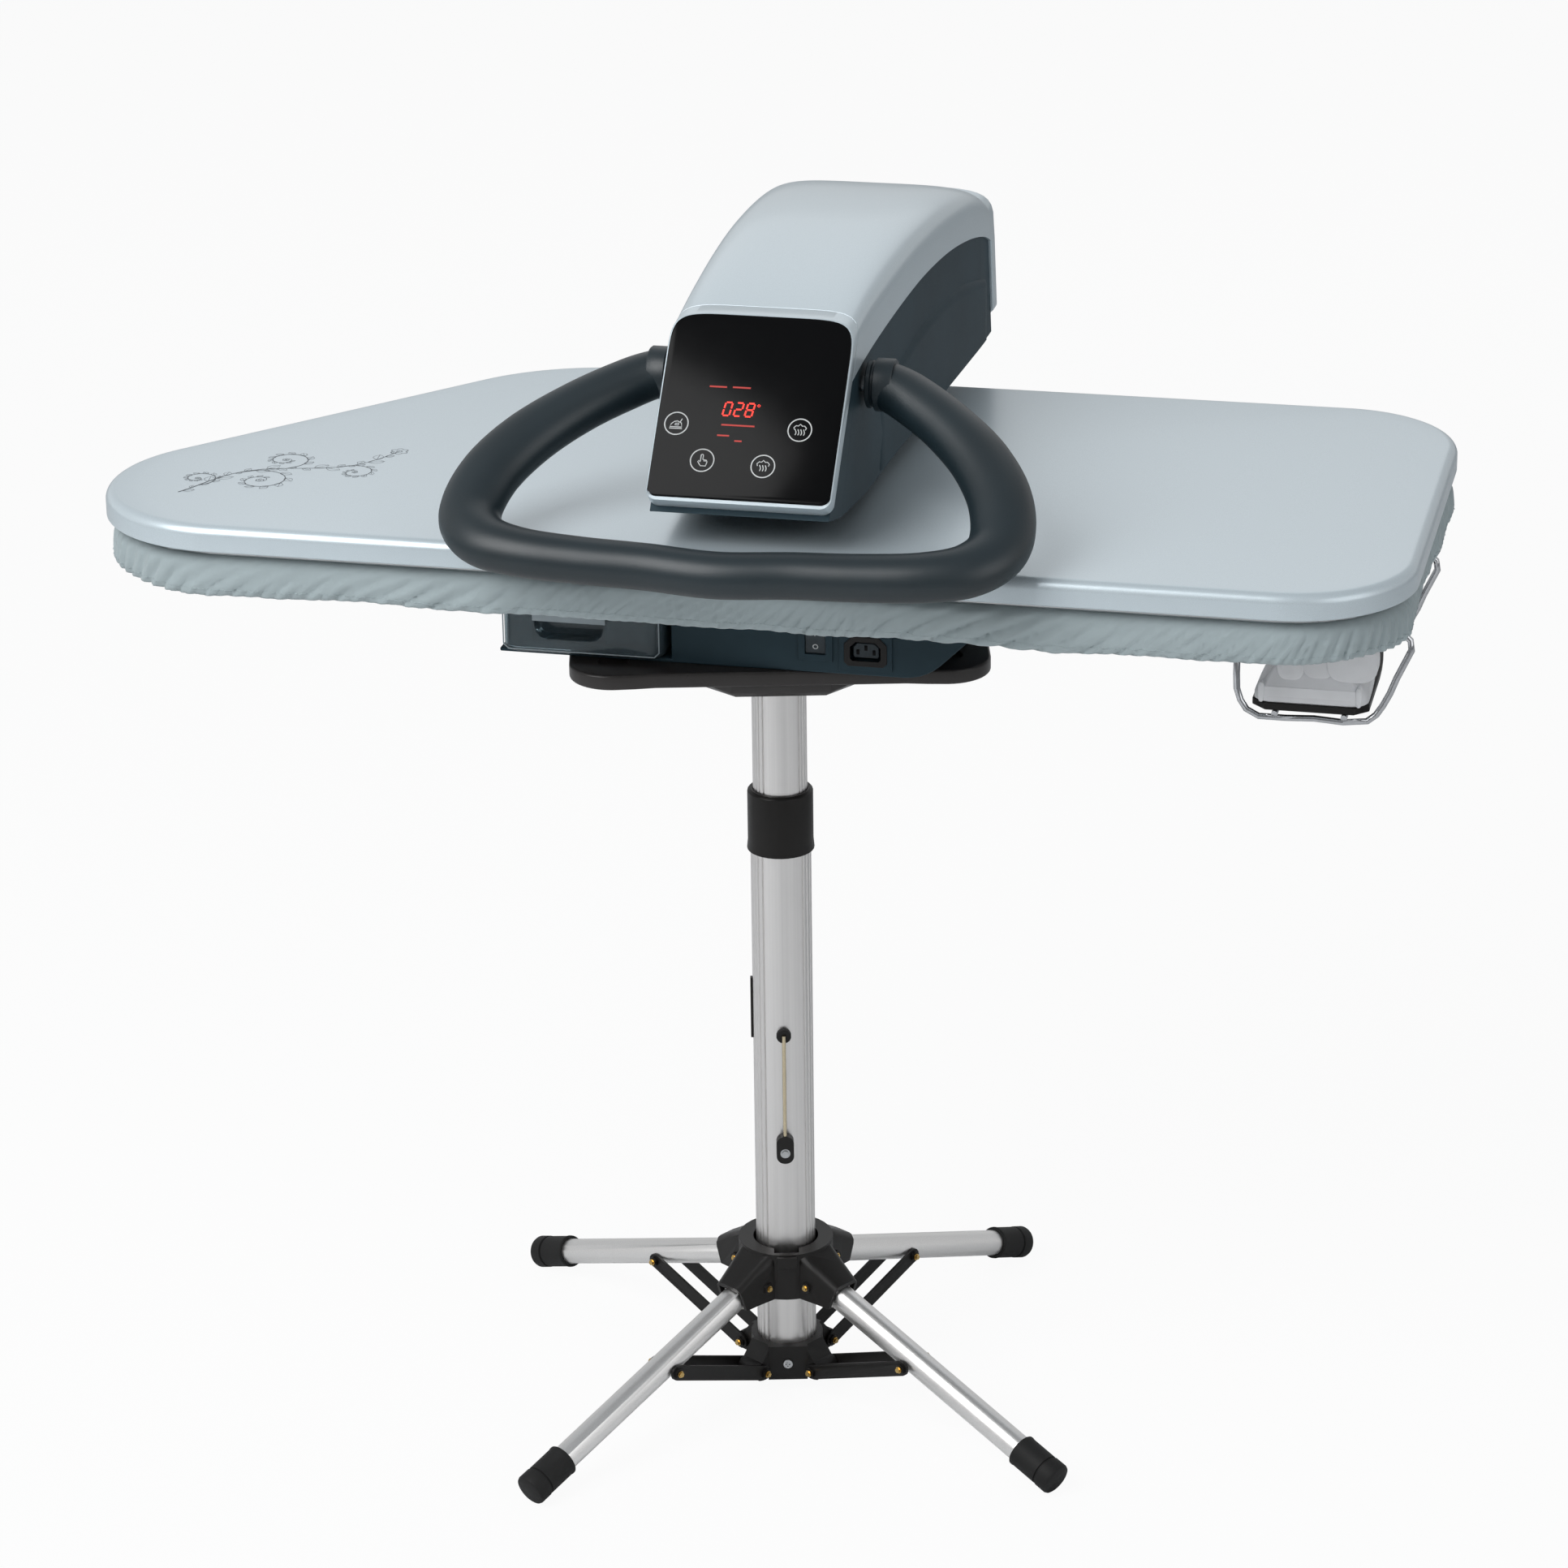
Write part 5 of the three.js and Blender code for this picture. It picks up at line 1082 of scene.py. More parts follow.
def panel_strokes(name, strokes, finish, slot, above):
    """Raised strokes on the gloss face: each is a list of (across, up) and a half width."""
    thin = 0.00008
    low = PANEL_FACE + above
    high = low + thin
    points = []
    faces = []
    for line, half in strokes:
        closed = line[0] == line[-1]
        path = [Vector(p) for p in (line[:-1] if closed else line)]
        count = len(path)
        first = len(points)
        for i, point in enumerate(path):
            before = path[i - 1] if closed or i > 0 else point
            after = path[(i + 1) % count] if closed or i < count - 1 else point
            way = (after - before).normalized()
            normal = Vector((-way.y, way.x)) * half
            for flat in (point + normal, point - normal):
                points.extend(panel_point(flat.x, flat.y, height) for height in (low, high))
        for i in range(count if closed else count - 1):
            a = first + 4 * i
            b = first + 4 * ((i + 1) % count)
            faces.extend([(a + 1, b + 1, b + 3, a + 3), (a, a + 2, b + 2, b),
                          (a, b, b + 1, a + 1), (a + 2, a + 3, b + 3, b + 2)])
        if not closed:
            last = first + 4 * (count - 1)
            faces.extend([(first, first + 1, first + 3, first + 2),
                          (last, last + 2, last + 3, last + 1)])
    piece = mesh_from(name, points, faces, None, weld=False)
    with edited(piece.data) as shape:
        face_outward(shape)
    return place(piece, finish, BODY_OF["control_panel"], slot)


# Signs of the touch fields as lines in a square from -1 to 1.
SOLE_SIGN = (
    ((-0.62, -0.36), (0.58, -0.36), (0.50, 0.06), (0.10, 0.26), (-0.22, 0.20), (-0.48, -0.04),
     (-0.62, -0.36)),
    ((-0.66, -0.52), (0.62, -0.52)),
    ((-0.10, 0.00), (0.26, 0.04), (0.24, -0.16), (-0.14, -0.16), (-0.10, 0.00)),
    ((0.36, 0.16), (0.52, 0.52)),
)
FINGER_SIGN = (
    ((-0.16, -0.10), (-0.16, 0.56), (-0.04, 0.64), (0.06, 0.56), (0.06, 0.10), (0.44, 0.02),
     (0.50, -0.16), (0.40, -0.58), (-0.10, -0.58), (-0.42, -0.16), (-0.34, -0.04),
     (-0.16, -0.16)),
    ((0.20, 0.06), (0.20, -0.10)),
    ((0.34, 0.03), (0.34, -0.12)),
)
CLOUD = ((-0.54, 0.02), (-0.62, 0.24), (-0.40, 0.46), (-0.20, 0.42), (0.0, 0.62),
         (0.20, 0.42), (0.40, 0.46), (0.62, 0.24), (0.54, 0.02))


def steam_sign(lines, shift):
    """A cloud over a number of wavy lines."""
    sign = []
    for k in range(lines):
        x = (k - (lines - 1) / 2) * 0.28
        sign.append([(x + 0.07 * math.sin(4 * t), -0.5 + 0.62 * t + shift)
                     for t in [i / 8 for i in range(9)]])
    return [*sign, CLOUD]


class PRESS_OT_panel(bpy.types.Operator):
    """Makes the silver frame, the gloss panel, its digits and its touch buttons"""

    bl_idname = "press.panel"
    bl_label = "Control panel"

    def execute(self, context):
        head = shared("head")
        rim = head.face_rim
        lip = head.face_lip
        rows = ((0.0004, COVER_FRONT, 0), (0.0, COVER_FRONT + 0.0005, 0), (0.0, 0.0016, 0),
                (0.0005, 0.0025, 0), (0.0012, 0.0028, 0), (rim - 0.0003, 0.0026, lip - 0.0004),
                (rim, 0.0022, lip), (rim, 0.0, lip))
        bezel = loft("bezel_frame", [face_ring(*row) for row in rows], math.radians(40))
        stands_for(bezel, "panel_bezel")
        rows = ((0.0004, 0.0002), (0.0004, PANEL_FACE - 0.0007), (0.0007, PANEL_FACE - 0.0002),
                (0.0013, PANEL_FACE))
        glass = loft("touch_panel", [face_ring(rim + more, above, lip + more)
                                     for more, above in rows], math.radians(40))
        place(glass, "gloss_black", BODY_OF["control_panel"], SLOT_OF["control_panel"],
              ("control_panel", "display_window"))
        radius = head.button
        size = radius * 0.86
        line = head.line / 2
        rings = []
        signs = []
        for x, up, sign in ((-0.0539, 0.0485, SOLE_SIGN), (-0.0304, 0.0205, FINGER_SIGN),
                            (0.0156, 0.0185, steam_sign(3, 0.0)),
                            (0.0392, 0.0487, steam_sign(4, -0.04))):
            rings.append((arc_line(x, up, radius), line * 1.25))
            signs.extend(([(x + size * a, up + size * b) for a, b in stroke], line * 0.95)
                         for stroke in sign)
        panel_strokes("button_rings", rings, "white_print", "white", 0.00002)
        panel_strokes("button_signs", signs, "white_print", "white", 0.00002)
        self.digits()
        return {"FINISHED"}

    def digits(self):
        """Three lit digits with a small ring beside them, and five dim bars."""
        height = 0.0105
        width = 0.0052
        slant = 0.16
        gap = 0.00055
        half = 0.00062
        pitch = 0.0084
        left = -0.0205
        foot = 0.0570
        strokes = []
        for which, segments in enumerate(DIGITS):
            for segment in segments:
                start, end = [
                    Vector((left + which * pitch + column * width, foot + row * height / 2))
                    for column, row in SEGMENTS[segment]]
                way = (end - start).normalized() * gap
                strokes.append(([(p.x + slant * (p.y - foot), p.y)
                                 for p in (start + way, end - way)], half))
        ring_x = left + 3 * pitch + 0.0014
        strokes.append((arc_line(ring_x, foot + height * 0.86, 0.0009, steps=14), 0.00025))
        panel_strokes("lit_digits", strokes, "lit_digit", "display", 0.00003)
        bars = [([(x, up), (x + long, up)], half) for x, up, long in (
            (-0.0330, 0.0795, 0.0130), (-0.0155, 0.0797, 0.0135), (-0.0200, 0.0495, 0.0250),
            (-0.0220, 0.0410, 0.0090), (-0.0085, 0.0372, 0.0055))]
        panel_strokes("dim_bars", bars, "dim_digit", "display", 0.00003)


# Right half of the handle's middle line: across, Y and Z, half width and half height.
LOOP_HALF = (
    (0.086, -0.098, 0.877, 0.0190, 0.0170),
    (0.106, -0.107, 0.871, 0.0200, 0.0180),
    (0.140, -0.132, 0.858, 0.0210, 0.0185),
    (0.172, -0.164, 0.841, 0.0230, 0.0190),
    (0.193, -0.200, 0.822, 0.0240, 0.0190),
    (0.198, -0.236, 0.803, 0.0235, 0.0185),
    (0.182, -0.263, 0.794, 0.0215, 0.0180),
    (0.150, -0.276, 0.7905, 0.0190, 0.0175),
    (0.104, -0.280, 0.7885, 0.0180, 0.0170),
    (0.054, -0.282, 0.7875, 0.0175, 0.0170),
    (0.000, -0.288, 0.7865, 0.0175, 0.0170),
)


class PRESS_OT_handle(bpy.types.Operator):
    """Makes the flat-oval loop of the handle with its end knuckles, and its shaft"""

    bl_idname = "press.handle"
    bl_label = "Handle"

    def execute(self, context):
        rows = [*LOOP_HALF, *[(-row[0], *row[1:]) for row in reversed(LOOP_HALF[:-1])]]
        stations = 190
        slope = math.atan2(0.090, 0.185)
        upward = Vector((0, -math.sin(slope), math.cos(slope)))
        samples = [on_curve(rows, i / stations * (len(rows) - 1)) for i in range(stations + 1)]
        centres = [Vector((HEAD_X + x, BOARD_MIDDLE.y + y, z)) for x, y, z, _, _ in samples]
        rings = []
        for i, centre in enumerate(centres):
            wide, tall = samples[i][3:]
            way = (centres[min(stations, i + 1)] - centres[max(0, i - 1)]).normalized()
            across = way.cross(upward).normalized()
            above = across.cross(way).normalized()
            rings.append([centre + across * wide * c + above * tall * s
                          for c, s in arc_line(0, 0, 1, steps=32)[:-1]])
        loop = loft("grip_loop", rings)
        stands_for(joined_mesh("grip_handle", [loop, self.eye(1), self.eye(-1)]), "handle_loop")
        bevelled("grip_shaft", "handle_shaft", 0.0005, 1)
        return {"FINISHED"}

    def eye(self, side):
        """A knuckle round the shaft, with a groove where it meets the arm's side."""
        pivot = Vector(JOINTS["handle_tilt"]["pos_m"])
        profile = ((0.0063, 0.0733), (0.0172, 0.0733), (0.0180, 0.0741), (0.0180, 0.0768),
                   (0.0170, 0.0776), (0.0170, 0.0788), (0.0200, 0.0800), (0.0200, 0.0925),
                   (0.0190, 0.0938), (0.0063, 0.0938))
        return lathe("grip_eye", profile, pivot, 48, Matrix.Rotation(side * math.pi / 2, 3, "Y"))


# Base unit, stand and iron


def rounded_outline(half_x, half_y, corner, waist):
    """A rounded rectangle round the origin, its long sides drawn in by the waist."""
    flat = []
    for quarter, (side_x, side_y) in enumerate(((1, -1), (1, 1), (-1, 1), (-1, -1))):
        flat += arc_line(side_x * (half_x - corner), side_y * (half_y - corner), corner,
                         math.pi / 2 * (quarter - 1), math.pi / 2 * quarter, 12)
        if quarter in (1, 3):
            for i in range(1, 16):
                share = 2 * i / 16 - 1
                drawn = waist * min(1.0, (1 - abs(share)) / 0.22) ** 2
                flat.append((-side_x * share * (half_x - corner), side_y * (half_y - drawn)))
    return flat


def cut_rectangle(a, b, foot, top):
    """A rectangle round the origin with its corners cut below and above."""
    return [(a, foot - b), (a, b - top), (a - top, b), (top - a, b), (-a, b - top),
            (-a, foot - b), (foot - a, -b), (a - foot, -b)]


def front_block(middle, half_x, half_z, y_back, y_front, foot, top, edge=0.0004):
    """Rings of a block on the base's front with cut corners and a small edge in front."""
    x, z = middle
    return [[Vector((x + u, y, z + w))
             for u, w in cut_rectangle(half_x - inset, half_z - inset, foot, top)]
            for inset, y in ((0.0, y_back), (0.0, y_front + edge), (edge, y_front))]


class PRESS_OT_base_unit(bpy.types.Operator):
    """Finishes the base unit, its tank, its switch and its outlet, and the plate under it"""

    bl_idname = "press.base_unit"
    bl_label = "Base unit"

    def execute(self, context):
        bevelled("base_shell", "base_housing", 0.0022, 3)
        bevelled("tank_clear", "water_tank", 0.0007)
        bevelled("tank_cap", "tank_lid", 0.0006)
        bevelled("switch_frame", "rocker_bezel", 0.0005, finish="slate_plastic")
        bevelled("switch_rocker", "power_rocker", 0.0004, finish="rocker_plastic")
        self.tank_edges()
        self.rocker_marks()
        self.outlet()
        self.carrier_plate()
        self.carrier_flange()
        return {"FINISHED"}

    def tank_edges(self):
        """Pale strokes along the tank's front edges, a painted highlight of its clear edges, and the raised hood
        over its finger recess in the same painted-highlight finish.
        """
        low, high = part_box("water_tank")
        front = low.y - 0.0001
        corner = 0.006
        inset = 0.0022
        brim = high.z - 0.004
        points = [Vector((x, front, z)) for x, z in (
            (low.x + inset, brim), (low.x + inset, low.z + corner),
            (low.x + corner, low.z + inset), (high.x - corner, low.z + inset),
            (high.x - inset, low.z + corner), (high.x - inset, brim))]
        edges = [(i, i + 1) for i in range(len(points) - 1)]
        # Pale strokes on the front edges: a painted highlight of the clear tank's edges.
        mesh = points_mesh("tank_lines", points, edges, width=[0.00055] * len(points))
        piece = run_tree("tank_edge_lines", mesh, stroke_tree(), Flatten=(1, 1, 1),
                         Material=finish_of("tank_edge"))
        place(piece, "tank_edge", BODY_OF["water_tank"], "tank")
        left, right = low.x + 0.0255, low.x + 0.0830
        foot, top = low.z + 0.0260, low.z + 0.0415
        spring = foot + 0.006
        outline = [(left, foot), (right, foot)]
        for i in range(17):
            angle = math.pi * i / 16
            outline.append(((left + right) / 2 + (right - left) / 2 * math.cos(angle),
                            spring + (top - spring) * math.sin(angle) ** 0.55))
        rings = []
        for share, out in ((1.0, -0.0008), (1.0, 0.0006), (0.965, 0.0012)):
            y = front - out
            middle = Vector(((left + right) / 2, y, (foot + top) / 2))
            rings.append([middle.lerp(Vector((x, y, z)), share) for x, z in outline])
        # The hood is raised; its pale finish is a painted highlight on its rim.
        place(loft("tank_grip_hood", rings), "tank_edge", BODY_OF["water_tank"], "tank")

    def rocker_marks(self):
        """The I and O marks on the rocker's face."""
        pivot = Vector(JOINTS["rocker_tilt"]["pos_m"])
        lean = Matrix.Rotation(math.radians(8), 3, "X")
        face = -0.00490
        thin = 0.00015
        half = 0.00035
        ring = arc_line(0.0, -0.0056, 0.0018, steps=20)[:-1]
        points = []
        faces = []
        for x, foot, top in ((0.0, 0.0034, 0.0078), *[(x, z - half, z + half) for x, z in ring]):
            first = len(points)
            for y in (face, face - thin):
                points.extend(pivot + lean @ Vector((x + across, y, z)) for across, z in (
                    (-half, foot), (half, foot), (half, top), (-half, top)))
            faces.extend(tuple(first + k for k in quad) for quad in (
                (0, 3, 2, 1), (4, 5, 6, 7), (0, 1, 5, 4), (1, 2, 6, 5), (2, 3, 7, 6), (3, 0, 4, 7)))
        piece = mesh_from("rocker_marks", points, faces, None, weld=False)
        place(piece, "white_print", BODY_OF["power_rocker"], "white")

    def outlet(self):
        """The outlet's plate, its black ring with cut corners and its face with three slots, which are dark gloss
        blocks on the face: painted shade of the openings.
        """
        low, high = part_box("iron_socket")
        x = (low.x + high.x) / 2
        z = (low.z + high.z) / 2
        front = low.y
        back = front + 0.0004
        proud = front - 0.0010
        depth = front + 0.0022
        bevelled("outlet_body", "iron_socket", 0.0005, finish="slate_plastic")
        body = BODY_OF["iron_socket"]
        outer = front_block((x, z), 0.0165, 0.0118, back, proud, 0.0030, 0.0062)
        inner = front_block((x, z), 0.0118, 0.0076, back, proud, 0.0018, 0.0042, 0.0)
        ring = loft("outlet_ring", [*outer, *reversed(inner[:2])], math.radians(30), closed=True)
        place(ring, "black_plastic", body, "black")
        face = front_block((x, z), 0.0098, 0.0058, front + 0.0110, depth, 0.0010, 0.0030)
        place(loft("outlet_face", face), "rocker_plastic", body, "black")
        # Dark gloss blocks a hair proud of the face stand for the slots' openings: painted shade.
        slot_shade_blocks = [loft("slot", front_block((x + across, z + up), 0.0012, 0.0021, depth + 0.0002,
                                          depth - 0.0001, 0.0002, 0.0002, 0.00005))
                 for across, up in ((-0.0062, -0.0012), (0.0, 0.0022), (0.0062, -0.0012))]
        place(joined_mesh("outlet_slots", slot_shade_blocks), "gloss_black", body, "gloss")

    def level(self, flat, z):
        """An outline on the carrier, turned with the stand, at a height."""
        turn = Matrix.Rotation(STAND_TURN, 3, "Z")
        return [COLUMN + turn @ Vector((x, y, 0)) + Vector((0, 0, z)) for x, y in flat]

    def carrier_plate(self):
        """The plate with its rounded edge, drawn-in sides and five dishes."""
        low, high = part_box("top_plate")
        half_x, half_y, corner = 0.161, 0.110, 0.034
        edge = 0.0022
        waist = 0.003
        bends = [math.pi / 2 * i / 5 for i in range(6)]
        rings = []
        for angles, face, way in ((bends, low.z, 1), (reversed(bends), high.z, -1)):
            for angle in angles:
                inset = edge * (1 - math.sin(angle))
                rings.append(self.level(
                    rounded_outline(half_x - inset, half_y - inset, corner - inset, waist),
                    face + way * edge * (1 - math.cos(angle))))
        plate = loft("carrier_slab", rings)
        across = half_x - corner
        along = half_y - corner
        dish = 0.0125
        profile = ((0.0, high.z - 0.0025), (dish - 0.0015, high.z - 0.0025),
                   (dish, high.z - 0.0010), (dish, high.z + 0.0020), (0.0, high.z + 0.0020))
        spots = self.level(((across, along), (-across, along), (across, -along),
                            (-across, -along), (-0.030, -along)), 0)
        cutter = joined_mesh("dishes", [lathe("dish", profile, spot, 40) for spot in spots])
        cut = plate.modifiers.new("Dishes", "BOOLEAN")
        cut.operation = "DIFFERENCE"
        cut.object = cutter
        plate = settled(plate, "carrier_plate")
        bpy.data.objects.remove(cutter)
        stands_for(plate, "top_plate", "satin_plate")

    def carrier_flange(self):
        """The cut-cornered disc under the plate and the collar round the tube."""
        low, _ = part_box("top_plate")
        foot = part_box("top_flange")[0].z
        disc = low.z - 0.0002
        half_x, half_y, cut = 0.0610, 0.0980, 0.0230
        rings = []
        for inset, drop in ((0.0055, 0.0125), (0.0035, 0.0122), (0.0, 0.0078), (0.0, 0.0006),
                            (0.0006, 0.0)):
            flat = cut_rectangle(half_x - inset, half_y - inset, cut, cut)
            rings.append(self.level(flat, disc - drop))
        flange = loft("flange", rings, math.radians(30))
        tube_low, tube_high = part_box("inner_tube")
        bore = (tube_high.x - tube_low.x) / 2 + 0.0001
        under = disc - 0.0121
        profile = ((bore, foot), (0.0270, foot), (0.0280, foot + 0.0008),
                   (0.0335, foot + 0.0060), (0.0335, foot + 0.0080), (0.0325, foot + 0.0088),
                   (0.0325, under), (bore, under))
        collar = lathe("collar", profile, COLUMN, 72)
        stands_for(joined_mesh("carrier_flange", [flange, collar]), "top_flange", "satin_plate")


class PRESS_OT_column(bpy.types.Operator):
    """Makes the two fluted tubes and finishes the fittings on the column"""

    bl_idname = "press.column"
    bl_label = "Column"

    def execute(self, context):
        self.tube("outer_tube", "column_outer")
        self.tube("inner_tube", "column_inner")
        bevelled("column_sleeve", "clamp_sleeve", 0.0005)
        bevelled("latch_grommet", "lock_grommet", 0.0006)
        bevelled("latch_boss", "lock_boss", 0.0010)
        bevelled("latch_wire", "lock_wire", 0.0, finish="pale_brass", smooth=75)
        bevelled("column_strip", "tube_side_strip", 0.0003, 1)
        bevelled("foot_collar", "lower_collar", 0.0008)
        bevelled("collar_bolt", "collar_screw", 0.0003, 1)
        boss_low, boss_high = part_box("lock_boss")
        facing = Vector((math.sin(STAND_TURN), -math.cos(STAND_TURN), 0))
        out = 0.0312
        spot = COLUMN + facing * out
        spot.z = (boss_low.z + boss_high.z) / 2 - 0.003
        bolts("boss_screw", [(spot, facing)], "lock_boss", "steel", "zinc_steel", 0.0030, 0.0016)
        return {"FINISHED"}

    def tube(self, node, label):
        """A tube with fine grooves all round, apart from a plain band in front and behind."""
        low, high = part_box(node)
        radius = (high.x - low.x) / 2
        wall = 0.0018
        depth = shared("stand").flute
        band = math.radians(36)
        grooved = []
        plain = []
        steps = 360
        for i in range(steps):
            angle = 2 * math.pi * i / steps
            front = abs(math.atan2(math.cos(angle), -math.sin(angle)))
            groove = 0.0 if min(front, math.pi - front) < band \
                else depth * max(0.0, math.sin(angle * 30)) ** 3
            angle += STAND_TURN
            way = (math.cos(angle), math.sin(angle))
            grooved.append([(radius - groove) * part for part in way])
            plain.append([(radius - wall) * part for part in way])
        rings = [[COLUMN + Vector((x, y, z)) for x, y in outline] for outline, z in (
            (plain, low.z), (grooved, low.z), (grooved, high.z), (plain, high.z))]
        stands_for(loft(label, rings, math.radians(18), closed=True), node)


class PRESS_OT_folding_base(bpy.types.Operator):
    """Finishes the hub, the legs, the braces and the rubber feet, and adds their bolts"""

    bl_idname = "press.folding_base"
    bl_label = "Folding base"

    def execute(self, context):
        bevelled("leg_hub", "spreader_hub", 0.0016, 3)
        for leg in LEGS:
            bevelled("leg_" + leg, "leg_tube_" + leg, 0.0005, finish="anodised_leg")
            bevelled("brace_bars_" + leg, "brace_" + leg, 0.0004, 1)
            self.foot(leg)
            self.brace_bolts(leg)
        self.hub_screws()
        return {"FINISHED"}

    def pin(self, part, leg):
        """The middle of a folding part's pin, its way outward and its axis across."""
        pivot = Vector(JOINTS[part + "_" + leg + "_fold"]["pos_m"])
        outward = pivot - COLUMN
        outward.z = 0
        outward.normalize()
        return pivot, outward, outward.cross(Vector((0, 0, 1))).normalized()

    def hub_screws(self):
        """A small screw in each end of every pivot pin of the hub."""
        head = 0.0198
        spots = []
        for leg in LEGS:
            pivot, _, across = self.pin("leg", leg)
            spots += both_sides(pivot, across, head)
        bolts("hub_screws", spots, "spreader_hub", "brass", "brass", 0.0020, 0.0014)

    def foot(self, leg):
        """A rubber cap with a groove, along the leg and level with the floor."""
        pivot, outward, across = self.pin("leg", leg)
        drop = math.radians(19.2)
        way = outward * math.cos(drop) - Vector((0, 0, math.sin(drop)))
        up = across.cross(way).normalized()
        if up.z < 0:
            up = -up
        start, end = 0.228, 0.268
        bore = 0.0109
        profile = [
            (bore, start), (0.0128, start), (0.0134, start + 0.0006), (0.0135, start + 0.0020),
            (0.0131, start + 0.0034), (0.0131, end - 0.0140), (0.0121, end - 0.0134),
            (0.0121, end - 0.0122), (0.0134, end - 0.0116), (0.0135, end - 0.0022),
            (0.0128, end - 0.0006), (0.0118, end), (0.0, end), (0.0, end - 0.0060),
            (bore, end - 0.0060),
        ]
        piece = lathe("foot_" + leg, profile, pivot, 64, Matrix((across, up, way)).transposed())
        for vertex in piece.data.vertices:
            vertex.co.z = max(vertex.co.z, 0.0)
        stands_for(piece, "foot_cap_" + leg)

    def brace_bolts(self, leg):
        """Bolt heads on the bars at the collar and at the leg."""
        pivot, outward, across = self.pin("brace", leg)
        rise = math.radians(21.6)
        reach = 0.1073
        head = 0.0166
        way = outward * math.cos(rise) + Vector((0, 0, math.sin(rise)))
        spots = []
        for along in (0.0, reach):
            spots += both_sides(pivot + way * along, across, head)
        bolts("brace_bolts_" + leg, spots, "brace_" + leg, "brass", "brass",
              shared("stand").bolt, 0.0018)


class PRESS_OT_iron(bpy.types.Operator):
    """Makes the iron's body and heel and finishes the wire rest that holds it"""

    bl_idname = "press.iron"
    bl_label = "Iron and rest"

    def execute(self, context):
        bevelled("rest_wire", "iron_rest", 0.0, smooth=75)
        bevelled("iron_sole", "iron_soleplate", 0.0005)
        bevelled("iron_water", "iron_tank", 0.0008)
        bevelled("iron_press_button", "iron_button", 0.0006)
        self.low, self.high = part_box("iron_body")
        self.middle = (self.low.x + self.high.x) / 2
        self.body()
        self.grip()
        return {"FINISHED"}

    def plan(self, inset, z):
        """The iron's plan at an inset: a straight heel, bowed sides and a rounded tip."""
        half = (self.high.x - self.low.x) / 2 - inset
        tip = self.high.y - inset
        corner = 0.012
        bow = self.low.y + inset + corner
        steps = 22
        right = arc_line(half - corner, bow, corner, -math.pi / 2, 0, 6)
        for i in range(1, steps):
            share = i / steps
            right.append((half * (1 - share ** 2.3) ** 0.72, bow + (tip - bow) * share))
        flat = [*right, (0.0, tip), *[(-x, y) for x, y in reversed(right)]]
        return [Vector((self.middle + x, y, z)) for x, y in flat]

    def body(self):
        low = self.low
        tall = self.high.z - low.z
        rings = [self.plan(0.0010, low.z), self.plan(0.0, low.z + 0.0010)]
        for share, inset in ((0.28, 0.0002), (0.50, 0.0016), (0.70, 0.0046), (0.86, 0.0086),
                             (0.96, 0.0130), (1.0, 0.0175)):
            rings.append(self.plan(inset, low.z + tall * share))
        parts = [loft("iron_hull", rings, math.radians(50)), self.heel()]
        parts += [self.lobe(x, 0.008, 0.0024, 0.0080, low.y - 0.0008, low.y + 0.0060)
                  for x in (-0.0365, 0.0365)]
        stands_for(joined_mesh("iron_shell", parts), "iron_body")

    def heel(self):
        """The heel's upright wall: a wide band with a narrower wall that slopes in above it."""
        corner = 0.0030
        rings = []
        for rise, half, front, back in (
            (0.0004, 0.0365, 0.0014, 0.0150), (0.0014, 0.0375, 0.0002, 0.0150),
            (0.0125, 0.0360, 0.0002, 0.0150), (0.0135, 0.0352, 0.0014, 0.0150),
            (0.0250, 0.0300, 0.0034, 0.0150), (0.0330, 0.0245, 0.0050, 0.0150),
            (0.0345, 0.0225, 0.0070, 0.0140),
        ):
            near = self.low.y + front + corner
            far = self.low.y + back - corner
            side = half - corner
            flat = []
            for cx, cy, start in ((side, near, -math.pi / 2), (side, far, 0.0),
                                  (-side, far, math.pi / 2), (-side, near, math.pi)):
                flat += arc_line(cx, cy, corner, start, start + math.pi / 2, 5)
            rings.append([Vector((self.middle + x, y, self.low.z + rise)) for x, y in flat])
        return loft("iron_heel", rings, math.radians(40))

    def lobe(self, across, rise, half_x, half_z, front, back, edge=0.0012):
        """A rounded upright block with a small edge round its front."""
        round_line = [(math.copysign(abs(c) ** 0.7, c), math.copysign(abs(s) ** 0.7, s))
                      for c, s in arc_line(0, 0, 1, steps=36)[:-1]]
        rings = [[Vector((self.middle + across + (half_x - inset) * u, y,
                          self.low.z + rise + (half_z - inset) * w)) for u, w in round_line]
                 for inset, y in ((edge, front), (edge * 0.3, front + edge * 0.3),
                                  (0.0, front + edge), (0.0, back))]
        return loft("iron_lobe", rings, math.radians(40))

    def grip(self):
        """The handle with the rounded feet of its rear end over the heel."""
        front = self.low.y + 0.0010
        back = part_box("iron_handle")[0].y + 0.0040
        parts = [
            self.lobe(-0.0150, 0.0310, 0.0105, 0.0125, front - 0.0006, back),
            self.lobe(0.0060, 0.0315, 0.0115, 0.0105, front, back, 0.0006),
            self.lobe(0.0310, 0.0345, 0.0190, 0.0150, front - 0.0016, back),
        ]
        bevelled("iron_grip", "iron_handle", 0.0030, 3)
        place(joined_mesh("iron_grip_feet", parts), "white_plastic", BODY_OF["iron_handle"],
              "white")


